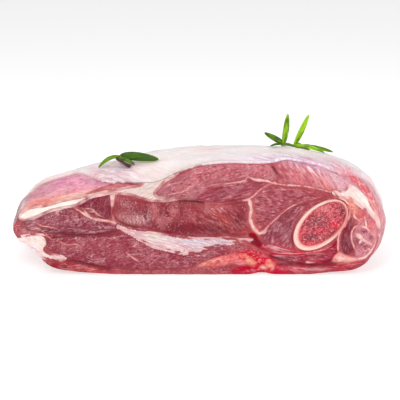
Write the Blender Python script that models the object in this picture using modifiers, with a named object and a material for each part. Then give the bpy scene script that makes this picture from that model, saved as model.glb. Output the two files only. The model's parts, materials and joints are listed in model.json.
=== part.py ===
"""A raw half shoulder of lamb, cut straight across the upper arm bone.

The joint lies on its flat underside. The butcher's cut faces -Y and shows the lean, the fat that
runs between the muscles, and the arm bone with its marrow. A cover of fat lies over the top.
Two bits of rosemary lie on the fat. +X is to the right of the cut and +Z is up. Tables and
functions work in millimetres, and the meshes are written in metres.
"""

import math

import bmesh
import bpy
import numpy as np
from mathutils import Vector
from mathutils.bvhtree import BVHTree

MM = 0.001

# ---- Driving dimensions, in millimetres -------------------------------------------------------
DEPTH = 144.0  # from the cut to the rear
HALF_LENGTH = 115.0  # of the cut, left to right
MIDDLE_HEIGHT = 36.0  # the middle of the cut above the board
REAR_SWELL = 6.0  # how far the rear bulges past its rim
FORM_CELLS = (48, 10, 18)  # along X, Y and Z
CUT_Y = -DEPTH / 2
GAP = 0.3  # left between pieces that touch
FAT_COVER = 2.8  # thickness of the fat over the top
SHEET_TAPER = 0.45  # how narrow a sheet of fat is at its back, against its front
BONE_CENTRE = (75.6, 32.0)
BONE_HALF = (20.5, 12.4)  # half the long and the short axis of the sawn bone
BONE_TILT = math.radians(43)
BONE_WALL = 3.0
BONE_RUN = 85.0  # how far the bone runs into the meat
BONE_PROUD = 0.7  # the sawn bone stands a little out of the lean

# The outline of the lean round the cut, and round the thickest section behind it. They are
# read anticlockwise from the right, as (x, z).
CUT_OUTLINE = (
    (112.6, 30), (110.8, 38), (107, 45), (102, 51.5), (96, 56.5), (89, 60.5), (83, 65),
    (77, 69.5), (70, 71.3), (60, 73.2), (52, 74), (46, 72.5), (38, 71.8), (20, 72), (5, 71),
    (-5, 68.5), (-14, 65), (-22, 61), (-30, 58.6), (-40, 58.6), (-50, 59.3), (-58, 57.5),
    (-66, 54.3), (-75, 51.6), (-85, 49.3), (-95, 47.3), (-104, 45.2), (-110.5, 41), (-113, 36),
    (-116, 28.3), (-113.3, 22.5), (-107, 17.2), (-101, 11.5), (-98, 6), (-91, 2.4), (-80, 0.5),
    (-60, -1), (0, -2.5), (60, -1), (82, 1), (96, 2.2), (103.5, 6), (107.5, 11.5),
    (110.7, 18.5), (112.4, 24),
)
RIDGE_OUTLINE = (
    (119.5, 32), (113.5, 44), (104, 54.5), (92.5, 62), (73, 68.5), (52, 71.3), (31, 72),
    (0, 71.4), (-26, 69), (-52, 63), (-76, 57.5), (-91, 53), (-103, 46.5), (-112, 40),
    (-119.5, 32), (-121, 26.5), (-117, 20), (-104, 9), (-88, 1), (-60, -2), (0, -3),
    (60, -2.5), (95, -1), (106, 3), (115, 11), (119.5, 22),
)
# Stations along the joint's side: how far along it, how deep behind the cut, and how the ridge
# outline's width and height shrink there, and how high it is lifted off the board.
RIDGE_RUN = 0.30
RUNS = (0.0, 0.15, 0.30, 0.45, 0.60, 0.74, 0.87, 1.0)
DEPTHS = (0.0, 20.0, 42.0, 67.0, 93.0, 116.0, 132.0, DEPTH - REAR_SWELL)
WIDTHS = (1.0, 1.0, 1.0, 0.985, 0.95, 0.88, 0.75, 0.50)
HEIGHTS = (1.0, 1.0, 1.0, 0.91, 0.82, 0.72, 0.57, 0.34)
LIFTS = (0.0, 0.0, 0.0, 0.0, 0.0, 0.0, 3.0, 10.0)

# The muscles as the knife went through them: how far each swells out of the cut, and its
# outline as (x, z).
MUSCLES = {
    "long_upper": (1.8, (
        (-27.5, 51.5), (-24, 56.5), (-18, 60.5), (-10, 65), (0, 69), (10, 71), (25, 71.5),
        (38, 71), (44.5, 69.5), (48.5, 64), (45, 61), (36, 62.3), (31, 63), (20, 60.8),
        (8, 58.8), (2, 55), (1, 49.5), (-10, 48.8), (-20, 49.2))),
    "deep_upper": (1.2, (
        (4, 55.5), (12, 58.2), (22, 60.2), (32, 61.8), (42, 59.5), (38, 55.5), (33, 51.5),
        (28, 49.3), (20, 47.6), (12, 46.9), (5, 48), (2, 51))),
    "right_upper": (2.2, (
        (46.5, 70), (50, 73.5), (55, 73.3), (61, 71.8), (70, 69.5), (77, 66.5), (81, 62),
        (84, 56.5), (82, 54.7), (75, 56.5), (65, 58.5), (55, 60), (50, 60.8), (50, 64))),
    "wedge": (1.6, (
        (33.2, 49.5), (36, 53), (42, 56.3), (48, 57.8), (56, 57.6), (66, 56), (76, 53.5),
        (83.5, 51), (75, 48.8), (68, 46.8), (61, 45.8), (54, 43.8), (48, 38.8), (44, 34.8),
        (41, 31.8), (38.3, 29.8), (35.5, 31), (34, 35), (33.3, 42))),
    "beside_bone": (1.6, (
        (38.8, 27.5), (42, 30.3), (46, 34.2), (50, 38.2), (55, 42.5), (61, 44.8), (68, 45.8),
        (65, 41), (61, 35.5), (58.6, 29.5), (57.8, 24), (58.8, 18.5), (60, 14.8), (52, 15.5),
        (45, 17.5), (40, 21))),
    "centre": (2.2, (
        (-53, 44), (-52, 49), (-49, 51), (-44, 50.3), (-36, 47.8), (-26, 46.5), (-12, 47.3),
        (0, 45.6), (10, 45), (20, 46.3), (28.5, 47.5), (30, 42), (30, 35), (31.5, 29),
        (30, 26.3), (15, 24.9), (-5, 25.3), (-20, 27.5), (-32, 29.5), (-42, 31.5),
        (-50, 34.5), (-53.5, 39))),
    "left_small": (1.4, (
        (-76, 45.3), (-71, 49), (-65, 52), (-58, 52.3), (-55, 49), (-54.6, 43), (-55.5, 37),
        (-62, 37), (-69, 40), (-73.5, 42.8))),
    "left_upper": (1.8, (
        (-110, 35), (-103, 37.3), (-96, 40.8), (-88, 42.5), (-79, 42.3), (-74, 39), (-69, 36.5),
        (-62, 34.3), (-54, 31.8), (-49, 29), (-60, 27), (-75, 26.3), (-90, 26.8), (-98, 27.5),
        (-108, 29.5))),
    "left_lower": (2.0, (
        (-95, 23.5), (-85, 25), (-70, 25.3), (-55, 25.8), (-47, 27), (-40, 24), (-32, 20),
        (-22, 17), (-8, 13), (2, 15.3), (12, 18.8), (22, 20.3), (31, 18.5), (30, 14.8),
        (18, 12.2), (6, 9.5), (-4, 5), (-20, 3.5), (-45, 3.5), (-62, 5.5), (-78, 9),
        (-88, 13), (-96, 17))),
    "bottom_left": (1.0, (
        (-93, 5), (-86, 8), (-76, 7), (-62, 3.5), (-50, 1.5), (-70, 1), (-84, 1.8))),
    "under_bone": (1.0, (
        (45, 13.5), (56, 12.8), (66, 14), (76, 15), (82, 18.3), (86, 22.5), (86.8, 16),
        (84.5, 10), (79, 6.8), (68, 6.3), (56, 8), (46, 10.5))),
    "bottom_right": (1.2, (
        (46, 4), (58, 5.8), (74, 5), (84, 6.2), (95, 7.6), (104, 9), (100, 4.5), (92, 1.5),
        (74, 1), (56, 0.8))),
    "right_dark": (1.2, (
        (95.5, 37.5), (97.3, 35), (96, 31), (94.5, 27), (94.8, 22), (97, 17), (95, 14),
        (91.5, 13.3), (89.5, 17), (89, 23), (89.8, 28), (92, 33))),
    "right_outer": (1.2, (
        (98.5, 40), (101, 42.3), (105, 40.5), (108.5, 35.5), (110.8, 29.5), (110.4, 22),
        (108.3, 14.5), (103, 11.3), (98, 12.3), (98, 18), (96.3, 24), (98, 30), (99.5, 35))),
}
# The fat between the muscles that shows at the cut: how far each sheet runs back into the meat,
# and its outline as (x, z). An outline that passes the rim is trimmed by the joint's own side.
FAT_SHEETS = {
    "seam_fat": (80.0, (
        (-49, 31.3), (-42, 28.6), (-34, 27.2), (-27, 26.5), (-16, 25.2), (-4, 24.2), (8, 23.3),
        (20, 23.2), (27, 23.3), (20, 21.8), (9, 19), (2, 17.6), (-3, 15.6), (-9, 14.2),
        (-15, 15), (-24, 18.4), (-33, 21.8), (-41, 26))),
    "edge_fat_left": (45.0, (
        (-110.5, 39), (-104, 43.2), (-95, 45.5), (-85, 47.5), (-76, 49.6), (-71.5, 50.3),
        (-75, 46.3), (-82, 44.2), (-90, 43.3), (-97, 41.3), (-104, 38.2), (-109, 36.4))),
    "lump_fat_left": (34.0, (
        (-119, 22.5), (-111, 25), (-105, 26.6), (-100, 25), (-97, 22), (-97.3, 17.5),
        (-93, 14), (-88, 12.6), (-85.5, 11), (-88, 8.8), (-96, 6), (-108, 8), (-120, 16))),
    "corner_fat": (55.0, (
        (-58, 53.6), (-50, 55), (-43, 56.3), (-38, 57.8), (-34, 61), (-27, 63), (-20.5, 63),
        (-21.5, 60), (-26, 55.5), (-28.8, 52.3), (-25.5, 49.8), (-21, 48.2), (-29, 47.6),
        (-36, 49), (-43, 51.6), (-50, 52.9))),
    "edge_fat_right": (40.0, (
        (86.5, 52.5), (92, 55.5), (97, 53.2), (102, 48.5), (106.5, 42), (109.8, 34),
        (110.8, 29), (107.5, 37), (103, 43), (98, 43.5), (94.5, 46.5), (90, 50))),
}

# Colours from the raw meat, as linear red, green and blue, and how rough each surface is.
LEAN = ((0.40, 0.085, 0.10), 0.42)
FAT = ((0.86, 0.74, 0.70), 0.48)
BONE = ((0.85, 0.60, 0.52), 0.55)
MARROW = ((0.42, 0.05, 0.07), 0.50)
LEAF = ((0.10, 0.23, 0.03), 0.45)


# ---- Curves and outlines ----------------------------------------------------------------------
def through(stations, values, at, period=None):
    """A smooth curve through the values at the stations, read at these places."""
    x, y, at = (np.asarray(a, float) for a in (stations, values, at))
    if period:
        at = (at - x[0]) % period + x[0]
        x = np.concatenate([x[-3:] - period, x, x[:3] + period])
        y = np.concatenate([y[-3:], y, y[:3]])
    slope = np.gradient(y, x)
    i = np.clip(np.searchsorted(x, at, side="right") - 1, 0, len(x) - 2)
    span = x[i + 1] - x[i]
    s = np.clip((at - x[i]) / span, 0, 1)
    start = (1 + 2 * s) * (1 - s) ** 2 * y[i] + s * (1 - s) ** 2 * span * slope[i]
    return start + s * s * (3 - 2 * s) * y[i + 1] + s * s * (s - 1) * span * slope[i + 1]


def as_reach(outline):
    """An outline as angles round the middle of the cut and how far it reaches at each."""
    x, z = np.array(outline, float).T
    across, up = x / HALF_LENGTH, (z - MIDDLE_HEIGHT) / MIDDLE_HEIGHT
    turn = np.arctan2(up, across) % math.tau
    order = np.argsort(turn)
    return turn[order], np.hypot(across, up)[order]


def smooth_loop(corners, steps=4):
    """The closed smooth curve through these corners, as points."""
    p = np.array(corners, float)
    before, after, beyond = np.roll(p, 1, 0), np.roll(p, -1, 0), np.roll(p, -2, 0)
    s = (np.arange(steps) / steps)[:, None, None]
    curve = 2 * p + (after - before) * s + (2 * before - 5 * p + 4 * after - beyond) * s**2
    curve = curve + (3 * p - before - 3 * after + beyond) * s**3
    return (curve / 2).transpose(1, 0, 2).reshape(-1, 2)


def depth_inside(x, z, loop):
    """How far inside a closed outline each point lies, negative outside."""
    ends = np.roll(loop, -1, 0)
    edge = ends - loop
    from_start = np.stack([x, z], -1)[:, None] - loop
    share = np.clip((from_start * edge).sum(-1) / (edge**2).sum(-1), 0, 1)
    away = np.linalg.norm(from_start - share[..., None] * edge, axis=-1).min(1)
    passes = (loop[:, 1] > z[:, None]) != (ends[:, 1] > z[:, None])
    rise = np.where(edge[:, 1] == 0, 1, edge[:, 1])
    crossing = loop[:, 0] + (z[:, None] - loop[:, 1]) / rise * edge[:, 0]
    inside = (passes & (x[:, None] < crossing)).sum(1) % 2 == 1
    return np.where(inside, away, -away)


CUT_TURNS, CUT_REACHES = as_reach(CUT_OUTLINE)
RIDGE_TURNS, RIDGE_REACHES = as_reach(RIDGE_OUTLINE)


# ---- The form of the joint --------------------------------------------------------------------
def side(turn, run):
    """A point on the joint's side, in mm. turn goes round the section from the right over the
    top, and run goes from 0 at the cut to 1 at the rear."""
    blend = 1 - (1 - np.clip(run / RIDGE_RUN, 0, 1)) ** 2
    at_cut = through(CUT_TURNS, CUT_REACHES, turn, math.tau)
    at_ridge = through(RIDGE_TURNS, RIDGE_REACHES, turn, math.tau)
    reach = at_cut + (at_ridge - at_cut) * blend
    x = HALF_LENGTH * reach * np.cos(turn)
    z = MIDDLE_HEIGHT * (1 + reach * np.sin(turn))
    x = x * through(RUNS, WIDTHS, run)
    z = np.maximum(z * through(RUNS, HEIGHTS, run), 0)
    z = z + np.maximum(through(RUNS, LIFTS, run), 0)
    y = CUT_Y + through(RUNS, DEPTHS, run)
    return np.stack([x, y, z], -1)


def outward(turn, run, step=0.004):
    """The direction straight out of the joint's side."""
    round_it = side(turn + step, run) - side(turn - step, run)
    low, high = np.clip(run - step, 0, 1), np.clip(run + step, 0, 1)
    normal = np.cross(side(turn, high) - side(turn, low), round_it)
    return normal / np.linalg.norm(normal, axis=-1, keepdims=True)


def swell(x, z):
    """How far the cut face stands out of its plane: muscles swell once the knife frees them."""
    height = np.full(x.shape, -0.6)
    for most, outline in MUSCLES.values():
        inside = np.clip(depth_inside(x, z, smooth_loop(outline)) / 6, 0, 1)
        height = np.maximum(height, -0.6 + (most + 0.6) * np.sqrt(inside * (2 - inside)))
    return height


def grid_cube(*cells):
    """A cube from -1 to 1 with this many cells along x, y and z."""
    bm = bmesh.new()
    bmesh.ops.create_cube(bm, size=2)
    for axis, count in enumerate(cells):
        lengthwise = [
            e for e in bm.edges if abs(e.verts[0].co[axis] - e.verts[1].co[axis]) > 1
        ]
        bmesh.ops.subdivide_edges(bm, edges=lengthwise, cuts=count - 1, use_grid_fill=True)
    return bm


def places(bm):
    return np.array([v.co for v in bm.verts], float)


def move_to(bm, points_mm):
    for vert, point in zip(bm.verts, points_mm):
        vert.co = Vector(point) * MM


def onto_disc(u, w):
    """A square's point moved into the round disc that just fits it, as angle and radius."""
    across, up = u * np.sqrt(1 - w * w / 2), w * np.sqrt(1 - u * u / 2)
    return np.arctan2(up, across) % math.tau, np.hypot(across, up)


def shoulder_form(growth=0.0):
    """The whole joint under its fat cover, as one mesh, grown outward by this much."""
    bm = grid_cube(*FORM_CELLS)
    u, v, w = places(bm).T
    turn, radius = onto_disc(u, w)
    run = (v + 1) / 2
    rim = side(turn, run) + outward(turn, run) * growth
    middle = rim * 0
    middle[:, 1] = rim[:, 1]
    middle[:, 2] = MIDDLE_HEIGHT * through(RUNS, HEIGHTS, run)
    points = middle + (rim - middle) * radius[:, None]
    at_cut = v < -0.999
    x, z = points[at_cut, 0], points[at_cut, 2]
    fade = np.clip((1 - radius[at_cut]) / 0.05, 0, 1)
    points[at_cut, 1] = CUT_Y - swell(x, z) * fade - 4 * growth
    at_rear = v > 0.999
    points[at_rear, 1] += REAR_SWELL * (1 - radius[at_rear] ** 2)
    move_to(bm, points)
    return bm


# ---- Objects ----------------------------------------------------------------------------------
def clear_scene():
    for obj in list(bpy.data.objects):
        bpy.data.objects.remove(obj)


def collection(name):
    made = bpy.data.collections.new(name)
    bpy.context.scene.collection.children.link(made)
    return made


def material(name, look):
    colour, roughness = look
    made = bpy.data.materials.new(name)
    made.diffuse_color = (*colour, 1)
    made.use_nodes = True
    shader = made.node_tree.nodes["Principled BSDF"]
    shader.inputs["Base Color"].default_value = (*colour, 1)
    shader.inputs["Roughness"].default_value = roughness
    return made


def add_object(name, bm, home, look):
    bmesh.ops.recalc_face_normals(bm, faces=bm.faces)
    mesh = bpy.data.meshes.new(name)
    bm.to_mesh(mesh)
    bm.free()
    mesh.materials.append(look)
    mesh.shade_smooth()
    mesh.set_sharp_from_angle(angle=math.radians(50))
    obj = bpy.data.objects.new(name, mesh)
    home.objects.link(obj)
    return obj


def applied(obj):
    """The object with its modifiers made permanent."""
    bpy.context.view_layer.update()
    graph = bpy.context.evaluated_depsgraph_get()
    mesh = bpy.data.meshes.new_from_object(obj.evaluated_get(graph))
    obj.modifiers.clear()
    obj.data = mesh
    return obj


def boolean(obj, other, operation):
    cut = obj.modifiers.new(operation.title(), "BOOLEAN")
    cut.operation = operation
    cut.object = other
    return cut


def prism(name, loop, front, back, home, look):
    """A flat outline drawn out along Y, as a mesh."""
    flat = bpy.data.curves.new(name, "CURVE")
    flat.dimensions = "2D"
    flat.fill_mode = "BOTH"
    flat.extrude = (back - front) / 2 * MM
    line = flat.splines.new("POLY")
    line.points.add(len(loop) - 1)
    for point, (x, z) in zip(line.points, loop):
        point.co = (x * MM, z * MM, 0, 1)
    line.use_cyclic_u = True
    shape = bpy.data.objects.new(name + "_curve", flat)
    shape.rotation_euler = (math.pi / 2, 0, 0)
    shape.location = (0, (front + back) / 2 * MM, 0)
    home.objects.link(shape)
    bpy.context.view_layer.update()
    mesh = bpy.data.meshes.new_from_object(
        shape.evaluated_get(bpy.context.evaluated_depsgraph_get())
    )
    mesh.transform(shape.matrix_world)
    bpy.data.objects.remove(shape)
    bm = bmesh.new()
    bm.from_mesh(mesh)
    bmesh.ops.remove_doubles(bm, verts=bm.verts, dist=1e-6)
    return add_object(name, bm, home, look)


def grown(loop, by):
    """An outline moved outward by this much all round."""
    edge = np.roll(loop, -1, 0) - loop
    edge /= np.linalg.norm(edge, axis=1, keepdims=True)
    out = np.stack([edge[:, 1], -edge[:, 0]], -1)
    corner = out + np.roll(out, 1, 0)
    corner /= np.linalg.norm(corner, axis=1, keepdims=True)
    reach = by / np.maximum((corner * out).sum(1), 0.35)
    x, z = loop.T
    area = (x * np.roll(z, -1) - np.roll(x, -1) * z).sum()
    return loop + corner * reach[:, None] * np.sign(area)


def bone_outline(inset=0.0, corners=36):
    """The sawn bone's outline, a tilted oval, brought in by this much."""
    turn = np.arange(corners) * math.tau / corners
    long_way = (BONE_HALF[0] - inset) * np.cos(turn)
    short_way = (BONE_HALF[1] - inset) * np.sin(turn)
    x = BONE_CENTRE[0] + long_way * math.cos(BONE_TILT) - short_way * math.sin(BONE_TILT)
    z = BONE_CENTRE[1] + long_way * math.sin(BONE_TILT) + short_way * math.cos(BONE_TILT)
    return np.stack([x, z], -1)


def tapered(name, loop, growth, back, home, look):
    """A prism on an outline that narrows towards the back, grown by this much all round."""
    front_loop = grown(loop, growth)
    middle = loop.mean(0)
    back_loop = grown(middle + (loop - middle) * SHEET_TAPER, growth)
    shape = prism(name, front_loop, CUT_Y - 10, back + growth, home, look)
    for vert in shape.data.vertices:
        if vert.co.y > CUT_Y * MM:
            place = np.array([vert.co.x, vert.co.z]) / MM
            nearest = np.linalg.norm(front_loop - place, axis=1).argmin()
            vert.co.x, vert.co.z = back_loop[nearest] * MM
    return shape


def make_fat_sheets(form, home, cutters, look):
    """Each sheet of fat is the part of the joint that its outline holds. Returns the cutters
    that make room for the sheets in the lean."""
    rooms = []
    for name, (run_back, outline) in FAT_SHEETS.items():
        loop = smooth_loop(outline, steps=3)
        back = CUT_Y + run_back
        mould = tapered(name + "_mould", loop, 0, back, cutters, look)
        sheet = bpy.data.objects.new(name, form.data.copy())
        sheet.data.materials.clear()
        sheet.data.materials.append(look)
        home.objects.link(sheet)
        boolean(sheet, mould, "INTERSECT")
        applied(sheet)
        rooms.append(tapered(name + "_room", loop, GAP, back, cutters, look))
    return rooms


def make_bone(home, looks):
    """The wall of the arm bone is a tube, and the marrow fills it."""
    front, back = CUT_Y - BONE_PROUD, CUT_Y + BONE_RUN
    wall = prism("bone", bone_outline(), front, back, home, looks["bone"])
    hollow = prism(
        "bone_hollow", bone_outline(BONE_WALL), front - 5, back + 5, home, looks["bone"]
    )
    boolean(wall, hollow, "DIFFERENCE")
    applied(wall)
    bpy.data.objects.remove(hollow)
    edge = wall.modifiers.new("Worn edges", "BEVEL")
    edge.width = 0.4 * MM
    edge.segments = 1
    edge.limit_method = "ANGLE"
    edge.angle_limit = math.radians(60)

    bm = grid_cube(18, 2, 12)
    u, v, w = places(bm).T
    turn, radius = onto_disc(u, w)
    long_way = (BONE_HALF[0] - BONE_WALL - GAP) * radius * np.cos(turn)
    short_way = (BONE_HALF[1] - BONE_WALL - GAP) * radius * np.sin(turn)
    x = BONE_CENTRE[0] + long_way * math.cos(BONE_TILT) - short_way * math.sin(BONE_TILT)
    z = BONE_CENTRE[1] + long_way * math.sin(BONE_TILT) + short_way * math.cos(BONE_TILT)
    y = np.where(v < 0, CUT_Y + 0.2, CUT_Y + BONE_RUN - 1)
    y = np.where(np.abs(v) < 0.5, CUT_Y + BONE_RUN / 2, y)
    crumbs = 0.5 * np.sin(1.3 * x + 0.5 * z) * np.sin(1.1 * z - 0.4 * x)
    y = np.where((v < -0.5) & (radius < 0.95), y - 0.3 - crumbs, y)
    move_to(bm, np.stack([x, y, z], -1))
    add_object("marrow", bm, home, looks["marrow"])


# ---- The fat cover ----------------------------------------------------------------------------
# Where the cover starts behind the cut, by angle round the section: it reaches the cut over the
# top, leaves a strip of lean bare on the right, and leaves the muscle on the left bare.
COVER_ANGLES = (-12, 8, 24, 36, 45, 52, 126, 131, 136, 142, 150, 160, 170, 180, 190)
COVER_STARTS = (
    0.22, 0.15, 0.12, 0.08, 0.02, 0.0, 0.0, 0.05, 0.17, 0.27, 0.31, 0.33, 0.38, 0.48, 0.64
)
COVER_END = 0.965
COVER_CELLS = (38, 12)
COVER_ROOT = 1.5  # the cover is drawn this much too deep, and the joint's form cut out of it


def make_fat_cover(home, cutters, look):
    """The fat over the top of the joint, which thins out along its border."""
    bm = bmesh.new()
    bmesh.ops.create_grid(
        bm, x_segments=COVER_CELLS[0], y_segments=COVER_CELLS[1], size=1
    )
    across, along = ((places(bm)[:, :2] + 1) / 2).T
    angle = COVER_ANGLES[0] + (COVER_ANGLES[-1] - COVER_ANGLES[0]) * across
    turn = np.radians(angle)
    start = np.maximum(through(COVER_ANGLES, COVER_STARTS, angle), 0)
    run = start + (COVER_END - start) * along
    points = side(turn, run) - outward(turn, run) * COVER_ROOT
    move_to(bm, points)
    cover = add_object("fat_cover", bm, home, look)
    if sum(face.normal.z for face in cover.data.polygons) < 0:
        cover.data.flip_normals()
    edge = np.minimum.reduce([across, 1 - across, 1 - along, along + 0.05]) / 0.12
    from_cut = points[:, 1] - CUT_Y
    share = np.clip(0.3 + 0.7 * np.minimum(edge, from_cut / 14), 0.3, 1)
    thick = COVER_ROOT + FAT_COVER
    group = cover.vertex_groups.new(name="thickness")
    for index, part in enumerate(share):
        group.add([index], float(COVER_ROOT + FAT_COVER * part) / thick, "REPLACE")
    shell = cover.modifiers.new("Thickness", "SOLIDIFY")
    shell.thickness = thick * MM
    shell.offset = 1
    shell.vertex_group = group.name
    applied(cover)
    for vert in cover.data.vertices:
        vert.co.y = max(vert.co.y, CUT_Y * MM)
    room = add_object("cover_room", shoulder_form(GAP), cutters, look)
    boolean(cover, room, "DIFFERENCE")
    return applied(cover)


# ---- Rosemary ---------------------------------------------------------------------------------
# Each leaf: its foot and its tip as (x, y, height above the fat), its width, how far its middle
# bows up, and the angle its upper side is turned to, from 0 facing -Y to 90 facing up.
LEAF_THICKNESS = 0.7
STALK_RADIUS = 0.8
PAIR = {
    "stem": ((-54, -43, 4.6), (-46, -37, 4.4)),
    "leaves": (
        ((-52, -42, 4.6), (-26.5, -54, 0.8), 5.4, 2.4, 35),
        ((-51, -41, 4.6), (-65, -44, 0.8), 2.8, 2.4, 70),
        ((-53, -43, 4.6), (-41.5, -49, 0.8), 2.8, 1.4, 70),
    ),
}
TIP = {
    "stem": ((52, -34, 1.3), (72, -14, 1.3)),
    "leaves": (
        ((54, -32, 1.3), (56.5, -31, 21.5), 3.9, 0.6, 0),
        ((61, -25, 1.3), (70.5, -28, 23.5), 3.6, 0.8, 20),
        ((55, -31, 1.3), (41.5, -33, 9.0), 3.8, 0.8, 30),
        ((62, -24, 1.3), (86.5, -29, 2.5), 3.4, 2.0, 55),
        ((60, -26, 1.3), (80.5, -36, 1.2), 3.2, 2.2, 60),
        ((54, -32, 1.3), (45, -39, 1.0), 2.6, 1.2, 80),
        ((64, -22, 1.3), (76, -9, 3.0), 3.2, 2.0, 90),
        ((67, -19, 1.3), (62, -4, 4.0), 3.2, 2.2, 90),
    ),
}


def on_fat(tree, x, y, height):
    """A point this high above the fat, in metres."""
    hit = tree.ray_cast(Vector((x * MM, y * MM, 1)), Vector((0, 0, -1)))[0]
    return hit + Vector((0, 0, height * MM))


def clear_of_fat(tree, point, least):
    """The point, lifted where it would come nearer the fat than this height in mm."""
    lowest = on_fat(tree, point.x / MM, point.y / MM, least)
    return lowest if point.z < lowest.z else point


def leaf(name, foot, tip, width, bow, turned, tree, home, look):
    """A narrow blade from foot to tip, its edges rolled under."""
    bm = bmesh.new()
    bmesh.ops.create_grid(bm, x_segments=9, y_segments=3, size=1)
    along_it = tip - foot
    facing = Vector((0, -math.cos(math.radians(turned)), math.sin(math.radians(turned))))
    sideways = along_it.cross(facing).normalized()
    out = sideways.cross(along_it).normalized()
    for vert in bm.verts:
        share, across = (vert.co.x + 1) / 2, vert.co.y
        half = width * MM / 2 * max(math.sin(math.pi * share ** 0.8) ** 0.6, 0.28)
        lift = bow * MM * 4 * share * (1 - share) - 0.25 * half * across**2
        place = foot + along_it * share + sideways * half * across + out * lift
        vert.co = clear_of_fat(tree, place, LEAF_THICKNESS / 2 + 0.45)
    blade = add_object(name, bm, home, look)
    if blade.data.polygons[0].normal.dot(out) < 0:
        blade.data.flip_normals()
    shell = blade.modifiers.new("Thickness", "SOLIDIFY")
    shell.thickness = LEAF_THICKNESS * MM
    shell.offset = 0
    return applied(blade)


def stalk(name, start, end, tree, home, look):
    """A round woody stalk that follows the fat."""
    curve = bpy.data.curves.new(name, "CURVE")
    curve.dimensions = "3D"
    curve.bevel_depth = STALK_RADIUS * MM
    curve.bevel_resolution = 1
    curve.use_fill_caps = True
    line = curve.splines.new("POLY")
    line.points.add(5)
    for i, point in enumerate(line.points):
        place = clear_of_fat(tree, start.lerp(end, i / 5), STALK_RADIUS + 0.45)
        point.co = (*place, 1)
    shape = bpy.data.objects.new(name + "_curve", curve)
    home.objects.link(shape)
    bpy.context.view_layer.update()
    mesh = bpy.data.meshes.new_from_object(
        shape.evaluated_get(bpy.context.evaluated_depsgraph_get())
    )
    bpy.data.objects.remove(shape)
    bm = bmesh.new()
    bm.from_mesh(mesh)
    bmesh.ops.remove_doubles(bm, verts=bm.verts, dist=1e-6)
    return add_object(name, bm, home, look)


def make_rosemary(name, plan, tree, home, look):
    """A bit of rosemary: its leaves and its stalk are one piece."""
    start, end = (on_fat(tree, *place) for place in plan["stem"])
    sprig = stalk(name, start, end, tree, home, look)
    leaves = collection(name + "_leaves")
    for number, (foot, tip, *form) in enumerate(plan["leaves"]):
        ends = on_fat(tree, *foot), on_fat(tree, *tip)
        leaf(f"{name}_leaf_{number}", *ends, *form, tree, leaves, look)
    union = sprig.modifiers.new("One piece", "BOOLEAN")
    union.operation = "UNION"
    union.operand_type = "COLLECTION"
    union.collection = leaves
    union.solver = "EXACT"
    applied(sprig)
    for blade in list(leaves.objects):
        bpy.data.objects.remove(blade)
    return sprig


# ---- Assembly ---------------------------------------------------------------------------------
def main():
    clear_scene()
    joint = collection("lamb_shoulder")
    cutters = collection("cutters")
    looks = {
        "lean": material("lean", LEAN),
        "fat": material("fat", FAT),
        "bone": material("bone", BONE),
        "marrow": material("marrow", MARROW),
        "leaf": material("leaf", LEAF),
    }
    lean = add_object("lean", shoulder_form(), joint, looks["lean"])
    rooms = make_fat_sheets(lean, joint, cutters, looks["fat"])
    rooms.append(
        prism("bone_room", bone_outline(-GAP), CUT_Y - 10, CUT_Y + BONE_RUN + GAP,
              cutters, looks["bone"])
    )
    for room in rooms:
        boolean(lean, room, "DIFFERENCE")
    applied(lean)
    make_bone(joint, looks)
    cover = make_fat_cover(joint, cutters, looks["fat"])
    bpy.context.view_layer.update()
    tree = BVHTree.FromObject(cover, bpy.context.evaluated_depsgraph_get())
    make_rosemary("rosemary_pair", PAIR, tree, joint, looks["leaf"])
    make_rosemary("rosemary_tip", TIP, tree, joint, looks["leaf"])
    for helper in cutters.objects:
        helper.hide_render = True
        helper.display_type = "WIRE"


main()
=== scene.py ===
import json
import math

import bpy
import numpy as np
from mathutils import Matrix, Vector
from mathutils.bvhtree import BVHTree

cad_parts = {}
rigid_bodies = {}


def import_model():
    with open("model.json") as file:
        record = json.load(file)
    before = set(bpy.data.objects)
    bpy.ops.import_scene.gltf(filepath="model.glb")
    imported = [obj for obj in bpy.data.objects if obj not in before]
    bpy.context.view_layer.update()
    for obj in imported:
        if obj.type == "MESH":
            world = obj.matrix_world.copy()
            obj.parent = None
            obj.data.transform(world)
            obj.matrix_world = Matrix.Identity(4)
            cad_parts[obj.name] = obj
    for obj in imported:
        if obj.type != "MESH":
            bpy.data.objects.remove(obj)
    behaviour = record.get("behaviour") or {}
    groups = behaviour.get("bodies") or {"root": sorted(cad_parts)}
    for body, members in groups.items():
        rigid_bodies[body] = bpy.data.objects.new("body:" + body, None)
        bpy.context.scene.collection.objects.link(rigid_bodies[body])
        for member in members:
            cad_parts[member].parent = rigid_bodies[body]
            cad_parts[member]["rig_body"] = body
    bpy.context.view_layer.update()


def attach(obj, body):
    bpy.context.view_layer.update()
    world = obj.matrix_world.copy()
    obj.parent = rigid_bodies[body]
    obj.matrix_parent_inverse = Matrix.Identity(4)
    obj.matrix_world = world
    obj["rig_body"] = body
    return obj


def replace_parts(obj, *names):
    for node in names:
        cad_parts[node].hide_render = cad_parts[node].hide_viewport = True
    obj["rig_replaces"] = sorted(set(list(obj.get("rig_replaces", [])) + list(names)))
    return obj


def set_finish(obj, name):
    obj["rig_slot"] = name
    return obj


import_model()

# ---- Lean -------------------------------------------------------------------------------------
# The lean is more than a dozen shoulder muscles side by side, each in a thin pale skin. Knife and
# saw went straight across, and each muscle swells a little out of the cut. Behind it the meat has
# its natural rounded side. All tables are in millimetres, x to the right and z up.
MM = 0.001
DEPTH = 144.0
HALF_LENGTH = 115.0
MIDDLE_HEIGHT = 36.0
REAR_SWELL = 6.0
CUT_Y = -DEPTH / 2
BARE_LEAN = (186, 98, 104)  # the lean of the side and the rear
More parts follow.
